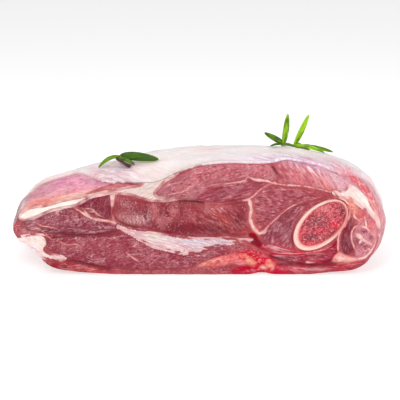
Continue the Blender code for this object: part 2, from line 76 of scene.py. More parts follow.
# The outline of the cut, and of the thickest section behind it.
CUT_OUTLINE = (
    (112.6, 30), (110.8, 38), (107, 45), (102, 51.5), (96, 56.5), (89, 60.5), (83, 65),
    (77, 69.5), (70, 71.3), (60, 73.2), (52, 74), (46, 72.5), (38, 71.8), (20, 72), (5, 71),
    (-5, 68.5), (-14, 65), (-22, 61), (-30, 58.6), (-40, 58.6), (-50, 59.3), (-58, 57.5),
    (-66, 54.3), (-75, 51.6), (-85, 49.3), (-95, 47.3), (-104, 45.2), (-111, 41), (-114, 36),
    (-117.2, 28.6), (-114, 23.2), (-107, 18.4), (-101, 13.4), (-97.6, 7.4), (-91, 3.8), (-80, 1.9),
    (-60, 0.4), (0, -2.5), (60, -1), (82, 1.4), (96, 2.8), (103.5, 6.4), (107.5, 11.8),
    (110.7, 18.5), (112.4, 24),
)
RIDGE_OUTLINE = (
    (119.5, 32), (113.5, 44), (104.6, 55.4), (93, 63.2), (73, 68.5), (52, 71.3), (31, 72),
    (0, 71.4), (-26, 69), (-52, 63), (-76, 57.5), (-91, 53), (-104.5, 47.6), (-114, 41.2),
    (-119.5, 32), (-121, 26.5), (-117, 20), (-104, 9), (-88, 1), (-60, -2), (0, -3),
    (60, -2.5), (95, -1), (106, 3), (115, 11), (119.5, 22),
)
RIDGE_RUN = 0.30  # how far along the side that section lies
# Stations along the side: how far along it and how deep behind the cut each lies, what is left
# of the section's width and height there, and how far it is lifted off the board.
RUNS = (0.0, 0.15, 0.30, 0.45, 0.60, 0.74, 0.87, 1.0)
DEPTHS = (0.0, 20.0, 42.0, 67.0, 93.0, 116.0, 132.0, DEPTH - REAR_SWELL)
WIDTHS = (1.0, 1.0, 1.0, 0.985, 0.95, 0.88, 0.75, 0.50)
HEIGHTS = (1.0, 1.0, 1.0, 0.91, 0.82, 0.72, 0.57, 0.34)
LIFTS = (0.0, 0.0, 0.0, 0.0, 0.0, 0.0, 3.0, 10.0)
FACE_CELLS = (392, 128)
SIDE_RINGS = 26
REAR_RINGS = 7
WORN_RIM = 1.1  # how far the edge of the cut is rounded back
GROOVE = 0.6  # how far the lean sinks in between two muscles
SWELL_OVER = 6  # how far in from its border a muscle swells to its full height
GRAIN_BOW = 0.0008  # how much a muscle's grain bows
SEAM_REACH = 4.0  # nothing is measured further than this from a pale skin
CREASE_REACH = 5  # the same for a crease
EDGE_ARCH = (39, 5, 3, 1.6)  # a small arch in the lower edge: x, half width, depth and height
WET_SHEEN = 0.006  # the light that wet meat throws back over its own colour


def srgb(*colour):
    """A colour as a painter names it, 0 to 255, as linear light."""
    value = np.array(colour) / 255
    return np.where(value <= 0.04045, value / 12.92, ((value + 0.055) / 1.055) ** 2.4)


# Each muscle, and each patch of soft fat or blood between them: how far it swells, its colour, the
# angle its grain runs at, how drawn out the grain is, how streaky it looks, how much fat is flecked
# through it, and its outline.
MUSCLES = {
    "long_upper": (1.8, (194, 117, 126), 14, 2.6, 0.7, 0.6, (
        (-27.5, 51.5), (-24, 56.5), (-18, 60.5), (-10, 65), (0, 69), (10, 71), (25, 71.5),
        (38, 71), (44.5, 69.5), (48.5, 64), (45, 60.6), (36, 62), (31, 62.6), (20, 60.4),
        (9, 58.4), (6, 55), (3, 50), (0, 48.4), (-10, 48.6), (-20, 49.0))),
    "deep_upper": (1.2, (172, 78, 92), 18, 6.0, 0.7, 0.45, (
        (6, 57.4), (12, 58.4), (22, 60.4), (30, 62), (36, 60.8), (42, 59.5), (38, 55.5),
        (33, 51.5), (29, 49), (20, 47.4), (12, 46.7), (3, 47.6), (-2, 49.4), (2, 54))),
    "right_upper": (2.2, (216, 119, 128), -50, 4.5, 0.7, 0.7, (
        (46.5, 70), (50, 73.5), (55, 73.3), (61, 71.8), (70, 69.5), (77, 66.5), (81, 62),
        (84.5, 56), (82, 53.6), (75, 55.8), (65, 57.6), (55, 58.6), (49.5, 59.4), (49, 63))),
    "wedge": (1.6, (175, 80, 93), -5, 4.0, 0.8, 0.6, (
        (33.2, 49.5), (36, 53), (42, 56.3), (48, 57.4), (56, 56.4), (66, 55.4), (76, 53.2),
        (83.5, 51), (75, 48.8), (68, 46.8), (61, 45.8), (54, 43.8), (48, 38.8), (44, 34.8),
        (41, 31.8), (38.3, 29.8), (35.5, 31), (34, 35), (33.3, 42))),
    "beside_bone": (1.6, (154, 69, 83), 52, 4.0, 0.7, 0.45, (
        (38.8, 27.5), (42, 30.3), (46, 34.2), (50, 38.2), (55, 42.5), (61, 44.8), (68, 45.8),
        (65, 41), (61, 35.5), (58.6, 29.5), (57.8, 24), (58.8, 18.5), (60, 14.8), (52, 15.5),
        (45, 17.5), (40, 21))),
    "centre": (2.2, (159, 66, 75), 78, 1.5, 0.75, 0.12, (
        (-53, 44), (-52, 49), (-49, 51), (-44, 50.3), (-36, 47.8), (-26, 46.5), (-12, 47.3),
        (0, 45.6), (10, 45), (20, 46.3), (28.5, 47.5), (30, 42), (30, 35), (31.5, 29),
        (30, 26.3), (15, 24.9), (-5, 25.3), (-20, 27.5), (-32, 29.5), (-42, 31.5),
        (-50, 34.5), (-53.5, 39))),
    "centre_left": (2.2, (158, 64, 75), 100, 0.7, 0.95, 0.3, (
        (-52.6, 42), (-52, 48), (-49, 50.5), (-44, 49.8), (-38, 47.6), (-32, 46.4), (-29, 42),
        (-28, 36), (-30, 31), (-36, 31), (-44, 32.4), (-50, 35.4))),
    "centre_right": (2.0, (163, 64, 71), -38, 4.5, 0.7, 0.1, (
        (-2, 44.6), (8, 43.6), (16, 44.6), (22, 45), (26, 41), (28.6, 34), (28.6, 28.4),
        (16, 26.6), (2, 26.8), (-6, 29), (-8, 34), (-5, 40))),
    "left_small": (1.4, (132, 44, 62), 60, 1.8, 0.6, 0.5, (
        (-76, 45.3), (-71, 49), (-65, 52), (-58, 52.3), (-55, 49), (-54.6, 43), (-55.5, 37),
        (-62, 37), (-69, 40), (-73.5, 42.8))),
    "left_upper": (1.8, (141, 59, 76), 14, 1.8, 0.7, 1.0, (
        (-110, 35), (-103, 37.3), (-96, 40.8), (-88, 42.5), (-79, 42.3), (-74, 39), (-69, 36.5),
        (-62, 34.3), (-54, 31.8), (-49, 29), (-60, 27), (-75, 26.3), (-90, 26.8), (-98, 27.5),
        (-108, 29.5))),
    "left_band": (1.6, (138, 60, 76), 3, 7.0, 0.9, 0.8, (
        (-108, 30.5), (-100, 31.8), (-88, 31.6), (-74, 30.6), (-60, 29.6), (-50, 29.2),
        (-58, 26.8), (-75, 26), (-90, 26.6), (-98, 27.3), (-107, 29))),
    "left_lower": (2.0, (152, 57, 74), 8, 2.2, 0.5, 0.8, (
        (-95, 23.5), (-85, 25), (-70, 25.3), (-55, 25.8), (-47, 27), (-40, 24), (-32, 20),
        (-22, 17), (-8, 13), (2, 15.3), (12, 18.8), (22, 20.3), (31, 18.5), (30, 14.8),
        (18, 12.2), (6, 9.5), (-4, 5), (-20, 3.5), (-45, 3.5), (-62, 5.5), (-78, 9),
        (-88, 13), (-96, 17))),
    "bottom_left": (1.0, (190, 76, 82), 0, 5.0, 0.7, 0.4, (
        (-93, 5), (-86, 8), (-76, 7), (-62, 3.5), (-50, 1.5), (-70, 1), (-84, 1.8))),
    "thin_upper": (0.8, (200, 104, 110), 8, 4.0, 0.5, 0.3, (
        (-62, 54.5), (-58, 56.6), (-52, 58), (-45, 58), (-38, 57.2), (-33, 56.8), (-42, 56),
        (-50, 55.2), (-56, 54.4))),
    "deep_blood": (-0.3, (136, 0, 26), 40, 3.0, 0.5, 0.0, (
        (31, 27), (34.6, 27), (36.6, 23.4), (39, 20), (40.6, 17.2), (38.6, 16.4),
        (34.6, 18.8), (29.4, 20.8), (30.6, 24))),
    "streaked_strip": (1.0, (186, 42, 68), -6, 6.0, 0.9, 0.8, (
        (37.5, 17.4), (41, 20), (47, 19.6), (54, 17.6), (61, 15.8), (70, 15.4), (78, 17.4),
        (72, 13.6), (60, 12.6), (50, 13.2), (43, 14.6))),
    "blood_pool": (0.9, (204, 0, 44), 10, 3.0, 0.5, 0.2, (
        (21, 3), (26, 5.4), (34, 6.2), (30, 12), (27, 14.4), (33.5, 14.2), (38.8, 13.8),
        (42.5, 12.2), (45.4, 10.2), (48.6, 6.9), (52, 4.8), (57.5, 3.7), (60, 2), (58, 0.6),
        (40, 0.4), (22, 0.4))),
    "salmon_fat": (1.4, (236, 114, 114), 14, 3.0, 0.5, 0.6, (
        (-2.5, 5.8), (4, 8.6), (9.4, 10.9), (15.6, 12.3), (19.2, 13.5), (24.6, 14), (28.1, 13.5),
        (30.8, 12.1), (33.5, 9.9), (35.6, 7.6), (33.5, 6.4), (29, 6.8), (24.6, 6.4), (19.2, 6.8),
        (14.8, 5.7), (9.4, 5.6), (4, 5.5))),
    "salmon_lump": (1.6, (246, 116, 116), 20, 3.0, 0.4, 0.6, (
        (41, 9.6), (43.6, 10), (46.4, 8.6), (48, 6.2), (45.6, 4.8), (42.6, 5.6))),
    "under_bone": (1.0, (166, 31, 58), 4, 4.0, 0.7, 0.5, (
        (45, 13.5), (56, 12.8), (66, 14), (76, 15), (82, 18.3), (86, 22.5), (86.8, 16),
        (84.5, 10), (79, 6.8), (68, 6.3), (56, 8), (46, 10.5))),
    "bottom_right": (1.2, (194, 59, 75), 2, 5.0, 0.7, 0.6, (
        (46, 4), (58, 5.8), (74, 5), (84, 6.2), (95, 7.6), (104, 9), (100, 4.5), (92, 1.5),
        (74, 1), (56, 0.8))),
    "salmon_knot": (1.6, (255, 176, 170), 5, 3.0, 0.4, 0.6, (
        (83.8, 8.6), (85, 12.4), (88, 14.2), (91, 12.8), (95, 11.2), (100, 11), (105, 12.2),
        (103, 9.6), (97, 8.6), (92, 7.6), (87, 7))),
    "right_dark": (1.2, (138, 50, 68), 80, 4.0, 0.5, 0.2, (
        (95.5, 37.5), (97.3, 35), (96, 31), (94.5, 27), (94.8, 22), (97, 17), (95, 14),
        (91.5, 13.3), (89.5, 17), (89, 23), (89.8, 28), (92, 33))),
    "right_outer": (1.2, (219, 142, 155), 60, 2.0, 0.4, 0.6, (
        (98.5, 40), (101, 42.3), (105, 40.5), (108.5, 35.5), (110.8, 29.5), (110.4, 22),
        (108.3, 14.5), (103, 11.3), (98, 12.3), (98, 18), (96.3, 24), (98, 30), (99.5, 35))),
}
BETWEEN_MUSCLES = (182, 84, 92)
# The pale skins between the muscles: half their width, and the line they follow.
SEAMS = (
    (0.7, ((-80, 43.8), (-76, 41.5), (-71.5, 38.3), (-65.3, 35.6), (-59, 34.8), (-53.6, 33.2),
           (-49, 30.8), (-44, 28.5))),
    (0.9, ((-73.5, 39.6), (-70.5, 38.6), (-68.5, 37.2))),
    (1.5, ((-54.4, 57), (-54.4, 52.5), (-54.8, 47.5), (-55.2, 43))),
    (0.4, ((-54.4, 48), (-54.9, 44), (-55.3, 40), (-54, 35), (-52.5, 33))),
    (0.4, ((5, 57.2), (10, 58.2), (18, 59), (25, 60.2), (29, 61.4))),
    (0.8, ((28, 60.6), (30, 63), (33, 61.8), (37, 61), (42, 60.4), (46, 58.8))),
    (0.5, ((40, 61), (45.5, 59), (54.4, 57.7), (65, 57), (75, 55), (84, 52.6), (90, 51.6))),
    (0.32, ((47, 60), (42, 57.6), (37, 54.4), (33, 50.3), (29.5, 48.6), (24, 47.6))),
    (1.3, ((27, 47.8), (30.2, 48), (31.4, 46), (32, 42), (31.4, 37), (32.2, 33), (34, 29.6),
           (37, 26.8), (39.6, 27.4), (41.6, 29.6), (44, 32.6))),
    (0.5, ((31.8, 44), (32.2, 41), (31.4, 38))),
    (0.35, ((39.5, 28.3), (43, 31.8), (48.5, 37), (54, 42), (58.5, 44.8), (64, 47))),
    (0.4, ((-27, 50.5), (-22, 48.8), (-14, 48.2), (-6, 48.0), (2, 47.4))),
    (0.55, ((94, 44), (93.6, 38), (91.4, 32.5), (88.6, 28.6), (87, 24), (86.8, 18), (87.2, 13.6))),
    (0.55, ((97.2, 43), (96.6, 38), (98.6, 35.8), (100.6, 34.6))),
    (0.6, ((100.4, 32), (97, 30.6), (95.4, 27), (95.6, 22), (97, 18), (98.4, 13.6))),
    (0.55, ((100, 31.6), (104.4, 30.6), (107, 27.6), (110.4, 25))),
    (0.5, ((103, 39), (103.8, 34), (104.4, 30.6))),
    (1.35, ((97.4, 27), (100, 25), (102.6, 23), (106, 20.8), (109, 18.8))),
    (0.9, ((101.4, 23), (100, 20.4))),
    (0.5, ((98, 15.4), (100.4, 16.6), (102, 15))),
    (0.5, ((105.6, 17.6), (107.4, 15.8))),
    (0.4, ((101.8, 17.4), (103.4, 15.6), (105.4, 16.2))),
    (0.85, ((98, 10.4), (102, 10.6), (105.4, 12.6), (108, 15.4), (110.2, 20.2), (111.4, 25))),
    (1.0, ((82, 53.6), (86, 51.4), (90.6, 48), (93.4, 44.8))),
    (0.55, ((66.5, 8.6), (69, 8.2), (72.3, 8.3))),
    (0.3, ((44, 15), (52, 14), (60, 13.6), (70, 14.6), (78, 16.2), (83, 19))),
    (0.3, ((-46.5, 15), (-43, 12), (-38.5, 9))),
    (0.5, ((-74, 43.6), (-72.4, 41.4), (-70.4, 39.4))),
    (0.4, ((-72, 42.8), (-68.6, 43), (-65.6, 41.2), (-63.4, 38.8), (-59.5, 37))),
    (0.35, ((-69.4, 41), (-66.4, 40.6), (-64.6, 38.2))),
    (0.28, ((-20, 52), (-10, 54.5), (-1, 60))),
    (0.45, ((14, 21.5), (22, 21.6), (28, 21.4), (32, 20.6))),
    (0.5, ((70, 71), (76, 69.2), (80, 66.2), (82.6, 63), (84.8, 59.6), (86.4, 56.4), (87, 53))),
    (0.3, ((8, 23.8), (18, 24.2), (24, 23.4), (29, 23.2))),
    (0.3, ((-103, 34.5), (-99, 32), (-94, 31.4), (-88, 29.4))),
    (0.28, ((-88, 22), (-83, 19.8), (-78, 20.4), (-75, 18.8))),
    (0.3, ((-105, 31), (-100, 29.5), (-96, 25), (-93, 23))),
)
# The creases: how wide and how deep each is, and the line it follows. Their depth also darkens the
# lean's colour, as painted shade.
CREASES = (
    (0.8, 1.8, ((-15, 47.7), (-8, 47.7), (-2, 47.2), (4, 45.9))),
    (0.9, 0.75, ((-97, 25.2), (-85, 25.7), (-70, 25.8), (-55, 26.3), (-47, 28))),
    (1.7, 0.7, ((14, 44.5), (18, 41), (20, 36.5), (21, 31))),
    (1.0, 1.0, ((44, 70.5), (46.5, 67.5), (49.5, 64), (52, 62))),
    (0.9, 0.9, ((-76, 42), (-70, 38.8), (-63, 36.2), (-57, 36))),
    (0.9, 1.0, ((-53, 39), (-52.4, 35.8), (-50, 33.6), (-46.5, 32.2), (-42, 30.8), (-37, 30.2))),
    (0.8, 0.9, ((42, 12.6), (46, 11.4), (51, 9.8), (57, 8.8))),
    (0.7, 0.8, ((-42, 43), (-39, 41.5), (-36.5, 38))),
    (0.9, 0.9, ((-34, 42), (-35.5, 38.5), (-32, 36))),
    (0.8, 0.8, ((-22, 45.5), (-21, 41), (-22.5, 37))),
    (0.8, 0.7, ((-13, 45.5), (-12, 41.5), (-12.5, 38))),
    (1.0, 1.0, ((44, 5.3), (55, 6.6), (66, 6.0), (76, 5.8), (86, 7.2), (95, 8.4))),
    (1.2, 1.0, ((-95, 9.5), (-86, 9.3), (-76, 7.9), (-64, 4.9), (-52, 2.5))),
    (0.8, 0.7, ((88.5, 42), (90, 37), (89.2, 33))),
    (0.8, 0.7, ((5, 56), (12, 55), (22, 50.5), (27, 49.3))),
    (1.0, 0.9, ((-113, 33), (-110, 30), (-106, 28.3))),
)
# Where the lean is marbled with more fat: the place, half length, half width, lie and amount.
MARBLED = (
    (-43, 37, 9, 4.6, 12, 1.1), (-48, 46, 4, 5, 0, 0.7), (-70, 32, 14, 5, 8, 0.5),
    (-92, 33, 9, 4, 10, 0.6), (-60, 46, 4, 6, 0, 0.3), (6, 44.6, 7, 2, -8, 1.0),
    (102, 24, 7, 9, 0, 0.7), (70, 62, 12, 6, -40, 0.5), (-30, 20, 10, 4, -25, 0.3),
)
# Where soft wet fat lies in small lobes with blood between them: the same.
LOBED = (
    (24, 10.8, 7, 3, 0, 0.8), (10, 8.6, 9, 3, 14, 0.6), (36, 12, 6, 2.4, -25, 0.9),
    (44.5, 7.5, 4, 3, -30, 0.8), (38, 5, 4, 4, 0, 0.5), (30, 2.5, 8, 1.6, 0, 0.4),
    (54, 3.4, 6, 1.6, 0, 0.4),
)
# Where a torn pale skin still clings to the lean: the same.
VEILED = (
    (62, 70, 12, 2.6, -14, 0.8), (74, 66, 9, 3.4, -38, 1.0), (84.4, 58, 6, 2.0, -58, 0.7),
    (-38, 36, 9, 4, 8, 0.6), (-106, 30, 6, 3, 20, 0.6), (58, 13.6, 16, 1.5, 2, 0.8),
    (50, 18, 9, 2, -10, 0.6), (100, 9, 8, 2, 10, 0.3), (70, 4, 14, 1.4, 0, 0.35),
    (-66, 39, 7, 3, -20, 0.35), (8, 44.4, 6, 1.6, -8, 0.8),
)
# Where the cut is lumpy: the same, with the height of the lumps.
LUMPY = (
    (-43, 38, 9, 6, 10, 0.9), (-30, 40, 5, 7, 0, 0.5), (-14, 40, 10, 5, 0, 0.3),
    (26, 10, 8, 4, 0, 0.4), (42, 6, 8, 5, -20, 0.7), (103, 22, 6, 9, 0, 0.5),
    (-62, 42, 8, 6, 0, 0.4), (90, 11, 6, 3, 0, 0.5),
)
# Broad changes of colour over the cut: where, half length and half width, the way it lies, its colour
# and how strong it is. Some of them are painted highlights and one is partly painted shade, marked
# where they stand.
FACE_DABS = (
    (-48, 38, 5, 4, 0, (198, 122, 118), 0.55), (-40, 36, 6, 3.4, 10, (206, 142, 134), 0.7),
    (-47, 46, 3, 4, 0, (186, 100, 108), 0.5), (-33, 38.5, 2.4, 5, 20, (132, 54, 64), 0.75),
    (-27, 40, 3, 6, 10, (182, 92, 94), 0.6), (-17, 41, 2.4, 5.5, 0, (186, 94, 96), 0.6),
    (-8, 42, 2.6, 4.5, 0, (184, 92, 94), 0.5), (-10, 30.5, 22, 3.8, 2, (128, 42, 54), 0.9),
    (10, 29.5, 18, 4.2, 2, (128, 42, 52), 0.9), (25, 37, 5, 8, 0, (132, 52, 62), 0.8),
    (7, 40, 8, 4, -12, (176, 84, 84), 0.5), (13, 39, 9, 3.2, -52, (194, 88, 84), 0.6),
    (18, 34, 3, 5, -10, (188, 82, 80), 0.5), (26, 44.5, 4, 3, 0, (158, 66, 76), 0.6),
    (-3, 46, 8, 1.4, -8, (190, 110, 108), 0.6), (-16, 53, 9, 4, 25, (166, 84, 94), 0.7),
    (-22, 52, 5, 3, 20, (160, 84, 92), 0.6), (-8, 58, 10, 5, 20, (190, 100, 108), 0.5),
    (5, 65, 12, 4, 5, (196, 92, 104), 0.7), (22, 66, 14, 4, 0, (200, 98, 108), 0.7),
    (38, 67, 6, 5, 0, (206, 110, 118), 0.6), (30, 70, 14, 1.6, 0, (222, 128, 134), 0.5),
    (14, 53, 8, 3, 20, (150, 66, 82), 0.6), (28, 56, 8, 3, 15, (170, 84, 98), 0.5),
    (62, 66, 10, 5, -30, (220, 118, 126), 0.6), (54, 70, 5, 3, 0, (196, 96, 108), 0.6),
    (78, 60, 5, 5, -45, (230, 142, 144), 0.7), (80, 57, 4, 2.4, -48, (238, 132, 124), 0.8),
    (56, 62, 7, 1.6, -8, (200, 96, 106), 0.5), (50, 52, 12, 4, 0, (182, 94, 106), 0.5),
    (40, 42, 4, 7, 15, (176, 88, 98), 0.5), (72, 52, 8, 2.4, -14, (196, 84, 92), 0.6),
    (36, 34, 2, 5, 0, (206, 104, 104), 0.7), (52, 30, 6, 8, 40, (150, 74, 88), 0.7),
    (50, 19, 8, 3, -10, (190, 80, 92), 0.7), (63, 42, 5, 3, 40, (178, 88, 98), 0.5),
    (62, 17, 6, 2, 20, (210, 84, 92), 0.6), (58, 13.8, 14, 0.9, 2, (220, 50, 70), 0.7),
    (-20, 27.6, 2.6, 1.2, -10, (140, 18, 34), 0.95), (27, 28.5, 3, 1.6, 20, (196, 66, 70), 0.6),
    (3, 7.2, 5, 1.2, 22, (248, 178, 158), 0.85), (11, 9.4, 4, 1.2, 20, (242, 150, 142), 0.8),
    (10.6, 7.4, 2.6, 1.2, 10, (222, 80, 58), 0.8), (4.8, 7.4, 2, 0.7, 20, (236, 160, 112), 0.7),
    (22, 11.4, 4, 2, 0, (240, 108, 110), 0.7), (25.4, 12.2, 2, 1.2, 0, (254, 110, 78), 0.8),
    # In the next six rows, the pale dabs at (25.6, 7), (44.2, 5.9), (33.4, 2.6), (39.6, 4.6) and
    # (45.6, 3.6) are painted highlights on the wet fat and blood.
    (31.4, 8.4, 3, 1.6, -45, (248, 178, 134), 0.95), (25.6, 7, 2.6, 0.6, 0, (252, 210, 216), 0.95),
    (44.2, 5.9, 2, 1.1, 0, (252, 198, 156), 0.9), (34.5, 12.9, 3, 0.8, -25, (232, 20, 60), 0.9),
    (38.6, 9, 2, 3, 0, (232, 10, 54), 0.9), (40, 12, 2, 1, 0, (240, 96, 110), 0.8),
    (31, 4.2, 5, 1.4, 0, (196, 12, 60), 0.8), (33.4, 2.6, 2.4, 0.8, 0, (244, 108, 146), 0.8),
    (26, 1.6, 6, 1.4, 0, (184, 50, 84), 0.7), (39.6, 4.6, 1.7, 1.5, 0, (254, 218, 210), 1),
    (43.4, 3.6, 1.4, 1.2, 0, (236, 60, 80), 0.8), (45.6, 3.6, 0.7, 1.5, -20, (252, 206, 206), 0.95),
    (50, 2.2, 6, 1.6, 0, (226, 20, 66), 0.9), (50, 4.6, 4, 0.7, -10, (240, 96, 124), 0.7),
    (60, 3.2, 8, 1.3, 0, (216, 56, 84), 0.8), (14, 4, 9, 1.4, 10, (150, 44, 64), 0.6),
    (29.6, 23.4, 2.6, 1, 0, (232, 96, 96), 0.8), (28.4, 20, 2.4, 0.9, -10, (184, 112, 112), 0.7),
    (34, 27.2, 2, 0.7, -20, (206, 30, 48), 0.7), (35.4, 21.6, 1.8, 3.4, 40, (126, 0, 20), 0.9),
    # In the next row, the dab at (47.6, 17) is a painted highlight.
    (22, 21.6, 8, 1.2, 4, (222, 110, 104), 0.5), (47.6, 17, 2.6, 0.8, -20, (250, 196, 196), 0.8),
    (32, 40, 2, 7, 0, (240, 136, 132), 0.8), (34.4, 30, 1.6, 3, 40, (240, 130, 126), 0.8),
    (26, 16.6, 8, 1.8, 10, (200, 76, 88), 0.7), (30, 14.6, 6, 0.8, 2, (222, 40, 68), 0.8),
    (20, 17.5, 9, 1.6, 12, (190, 88, 94), 0.5), (53, 9.6, 8, 1.6, -10, (132, 52, 72), 0.7),
    (60, 72.3, 9, 1.7, -8, (232, 196, 220), 0.75), (72, 69.4, 8, 2.0, -22, (234, 196, 220), 0.8),
    (83, 63.6, 7, 3.0, -52, (234, 192, 212), 0.9), (88, 58, 5, 3.0, -55, (240, 188, 202), 0.9),
    (104, 49, 8, 2.4, -48, (248, 96, 108), 0.9), (111, 39, 7, 2.0, -66, (250, 140, 146), 0.9),
    (95, 57.3, 6, 1.6, -32, (240, 190, 206), 0.9), (112.5, 27, 6, 1.4, -85, (240, 150, 156), 0.8),
    (92, 50, 3, 1.6, -40, (250, 206, 190), 0.8), (-93, 47.4, 14, 1.7, 12, (250, 160, 142), 0.95),
    (-76, 51, 10, 1.0, 13, (246, 170, 152), 0.9), (-108, 43.4, 5, 1.6, 35, (244, 148, 132), 0.9),
    (-80, 50.4, 8, 0.5, 13, (254, 226, 206), 0.8), (-6, 8, 10, 3, 20, (168, 78, 92), 0.6),
    (-30, 10, 14, 5, -12, (174, 84, 98), 0.6), (-66, 20, 12, 4, 5, (182, 94, 104), 0.6),
    (-84, 19, 7, 3.4, -10, (182, 100, 104), 0.5), (-50, 14, 10, 5, -15, (176, 84, 98), 0.5),
    (-38, 20, 8, 3, -25, (176, 86, 100), 0.5), (-66, 30, 10, 2.4, -4, (150, 74, 88), 0.6),
    (-80, 37, 9, 3, 10, (176, 96, 104), 0.6), (-98, 33, 7, 2.6, 10, (170, 84, 94), 0.6),
    (-88, 24, 10, 1.6, 0, (138, 60, 72), 0.7), (-105, 30, 6, 1.6, 10, (176, 98, 104), 0.6),
    (-68, 45, 4, 3, 20, (134, 54, 68), 0.6), (-60, 46, 3, 5, 0, (154, 72, 84), 0.5),
    # In the next row, the dark dab at (-92, 5.5) is partly the lean's own darker colour and partly
    # painted shade under the overhang at the lower left.
    (-80, 6, 12, 1.8, -8, (164, 56, 64), 0.8), (-92, 5.5, 5, 3, 0, (140, 26, 42), 0.8),
    (-70, 4, 8, 1.4, 0, (214, 92, 92), 0.6), (101.5, 38, 4, 4.5, -30, (222, 92, 92), 0.9),
    (107, 32, 2.4, 5, -10, (222, 96, 100), 0.8), (103, 18, 5, 5, 0, (184, 110, 126), 0.8),
    (103, 28.2, 2.6, 1.3, 0, (142, 50, 76), 0.9), (107.4, 24.4, 1.6, 2.2, 0, (144, 52, 78), 0.85),
    (103.4, 19.4, 2.6, 1.5, -20, (148, 56, 80), 0.85), (105, 35.6, 1.6, 3, -10, (176, 80, 92), 0.6),
    (99, 22.4, 1.6, 2.6, 0, (136, 50, 74), 0.85), (92, 20, 2.4, 6, 0, (132, 58, 70), 0.7),
    (91.6, 31, 2.2, 4, 20, (140, 36, 56), 0.8), (95.4, 44.8, 3.0, 6.4, 15, (255, 164, 146), 0.95),
    # In the next row, the dab at (88.6, 10.6) is a painted highlight on the lump of fat.
    (97.4, 41, 1.6, 2.4, 0, (255, 158, 132), 0.8), (88.6, 10.6, 2.4, 1.2, 0, (255, 226, 214), 0.9),
    (86, 8.6, 1.6, 1.2, 0, (236, 96, 96), 0.8), (93.6, 10, 3, 1.0, 0, (255, 190, 168), 0.8),
    (75, 11, 9, 2, 4, (180, 80, 96), 0.5), (60, 10, 8, 1.6, 0, (150, 60, 76), 0.5),
)
# The same for the side of the joint, by the angle round it and how deep behind the cut. One of them is
# a painted shadow, marked below.
SIDE_DABS = (
    (250, 60, 60, 60, 0, (160, 76, 84), 0.6), (140, 20, 16, 26, 0, (255, 172, 198), 1.0),
    (150, 26, 12, 14, 0, (246, 160, 198), 0.8), (130, 14, 6, 14, 0, (206, 140, 170), 0.8),
    (160, 10, 12, 14, 0, (255, 190, 200), 1.0), (164, 8, 6, 7, 0, (255, 164, 170), 0.8),
    (152, 6, 10, 3, 0, (248, 140, 146), 0.7), (150, 2.4, 12, 1.4, 0, (255, 210, 200), 0.8),
    (156, 0.8, 14, 0.9, 0, (240, 120, 112), 0.8), (165, 5, 8, 5, 0, (255, 172, 166), 0.9),
    (172, 16, 3.2, 14, 0, (250, 238, 234), 0.9), (163, 38, 9, 7, 0, (246, 222, 226), 0.7),
    (182, 15, 6.5, 30, 0, (112, 66, 74), 0.95), (193, 6, 5, 12, 0, (156, 86, 94), 0.8),
    # In the next row, the dark dab at 219 degrees is a painted shadow under the overhang at the lower
    # left.
    (203, 8, 9, 30, 0, (178, 98, 104), 0.6), (219, 6, 7, 14, 0, (120, 40, 50), 0.8),
    (46, 4, 12, 6, 0, (234, 190, 208), 1.0), (24, 4, 14, 4, 0, (246, 180, 184), 1.0),
    (4, 6, 12, 12, 0, (240, 150, 160), 1.0), (44, 13, 8, 8, 0, (232, 156, 170), 0.9),
    (36, 18, 7, 6, 0, (255, 120, 136), 0.95), (28, 15, 9, 6, 0, (255, 92, 108), 1),
    (22, 10, 8, 6, 0, (255, 92, 98), 1), (15, 11, 9, 8, 0, (255, 112, 114), 0.95),
    (8, 12, 7, 8, 0, (252, 132, 136), 0.85), (-2, 12, 8, 10, 0, (242, 138, 150), 0.8),
    (-12, 13, 8, 12, 0, (226, 128, 144), 0.8), (30, 28, 12, 5, 0, (242, 226, 232), 0.95),
    (13, 31, 12, 7, 0, (246, 212, 220), 0.9), (-2, 30, 10, 8, 0, (234, 180, 192), 0.8),
    (14, 1.8, 16, 1.2, 0, (252, 214, 210), 0.8), (-32, 8, 16, 18, 0, (214, 104, 112), 0.8),
    (160, 1.4, 12, 1.1, 0, (234, 140, 112), 0.9), (150, 3.2, 8, 1.0, 0, (254, 232, 214), 0.9),
    (162, 6, 7, 4, 0, (255, 140, 124), 0.8), (134, 22, 4, 8, 0, (216, 190, 206), 0.7),
    (140, 32, 8, 3, 0, (206, 150, 184), 0.6),
)
# Broad clouds of colour on the side: their size, which random lumps they follow, how high in the
# lumps they start, their colour and how strong it is.
SIDE_CLOUDS = (
    (26, 54, 0.1, (200, 132, 142), 0.6), (18, 55, 0.2, (126, 52, 62), 0.6),
    (9, 56, 0.35, (214, 150, 154), 0.5),
)
# The net of red and white beads on the right of the side: its angle, depth and half sizes.
BEADED = (22, 12, 22, 8.5)


def through(stations, values, at, period=None):
    """A smooth curve through the values at the stations, read at these places."""
    x, y, at = (np.asarray(a, float) for a in (stations, values, at))
    if period:
        at = (at - x[0]) % period + x[0]
        x = np.concatenate([x[-3:] - period, x, x[:3] + period])
        y = np.concatenate([y[-3:], y, y[:3]])
    slope = np.gradient(y, x)
    i = np.clip(np.searchsorted(x, at, side="right") - 1, 0, len(x) - 2)
    span = x[i + 1] - x[i]
    s = np.clip((at - x[i]) / span, 0, 1)
    start = (1 + 2 * s) * (1 - s) ** 2 * y[i] + s * (1 - s) ** 2 * span * slope[i]
    return start + s * s * (3 - 2 * s) * y[i + 1] + s * s * (s - 1) * span * slope[i + 1]


def as_reach(outline):
    """An outline as angles round the middle of the cut and how far it reaches at each."""
    x, z = np.array(outline, float).T
    across, up = x / HALF_LENGTH, (z - MIDDLE_HEIGHT) / MIDDLE_HEIGHT
    turn = np.arctan2(up, across) % math.tau
    order = np.argsort(turn)
    return turn[order], np.hypot(across, up)[order]


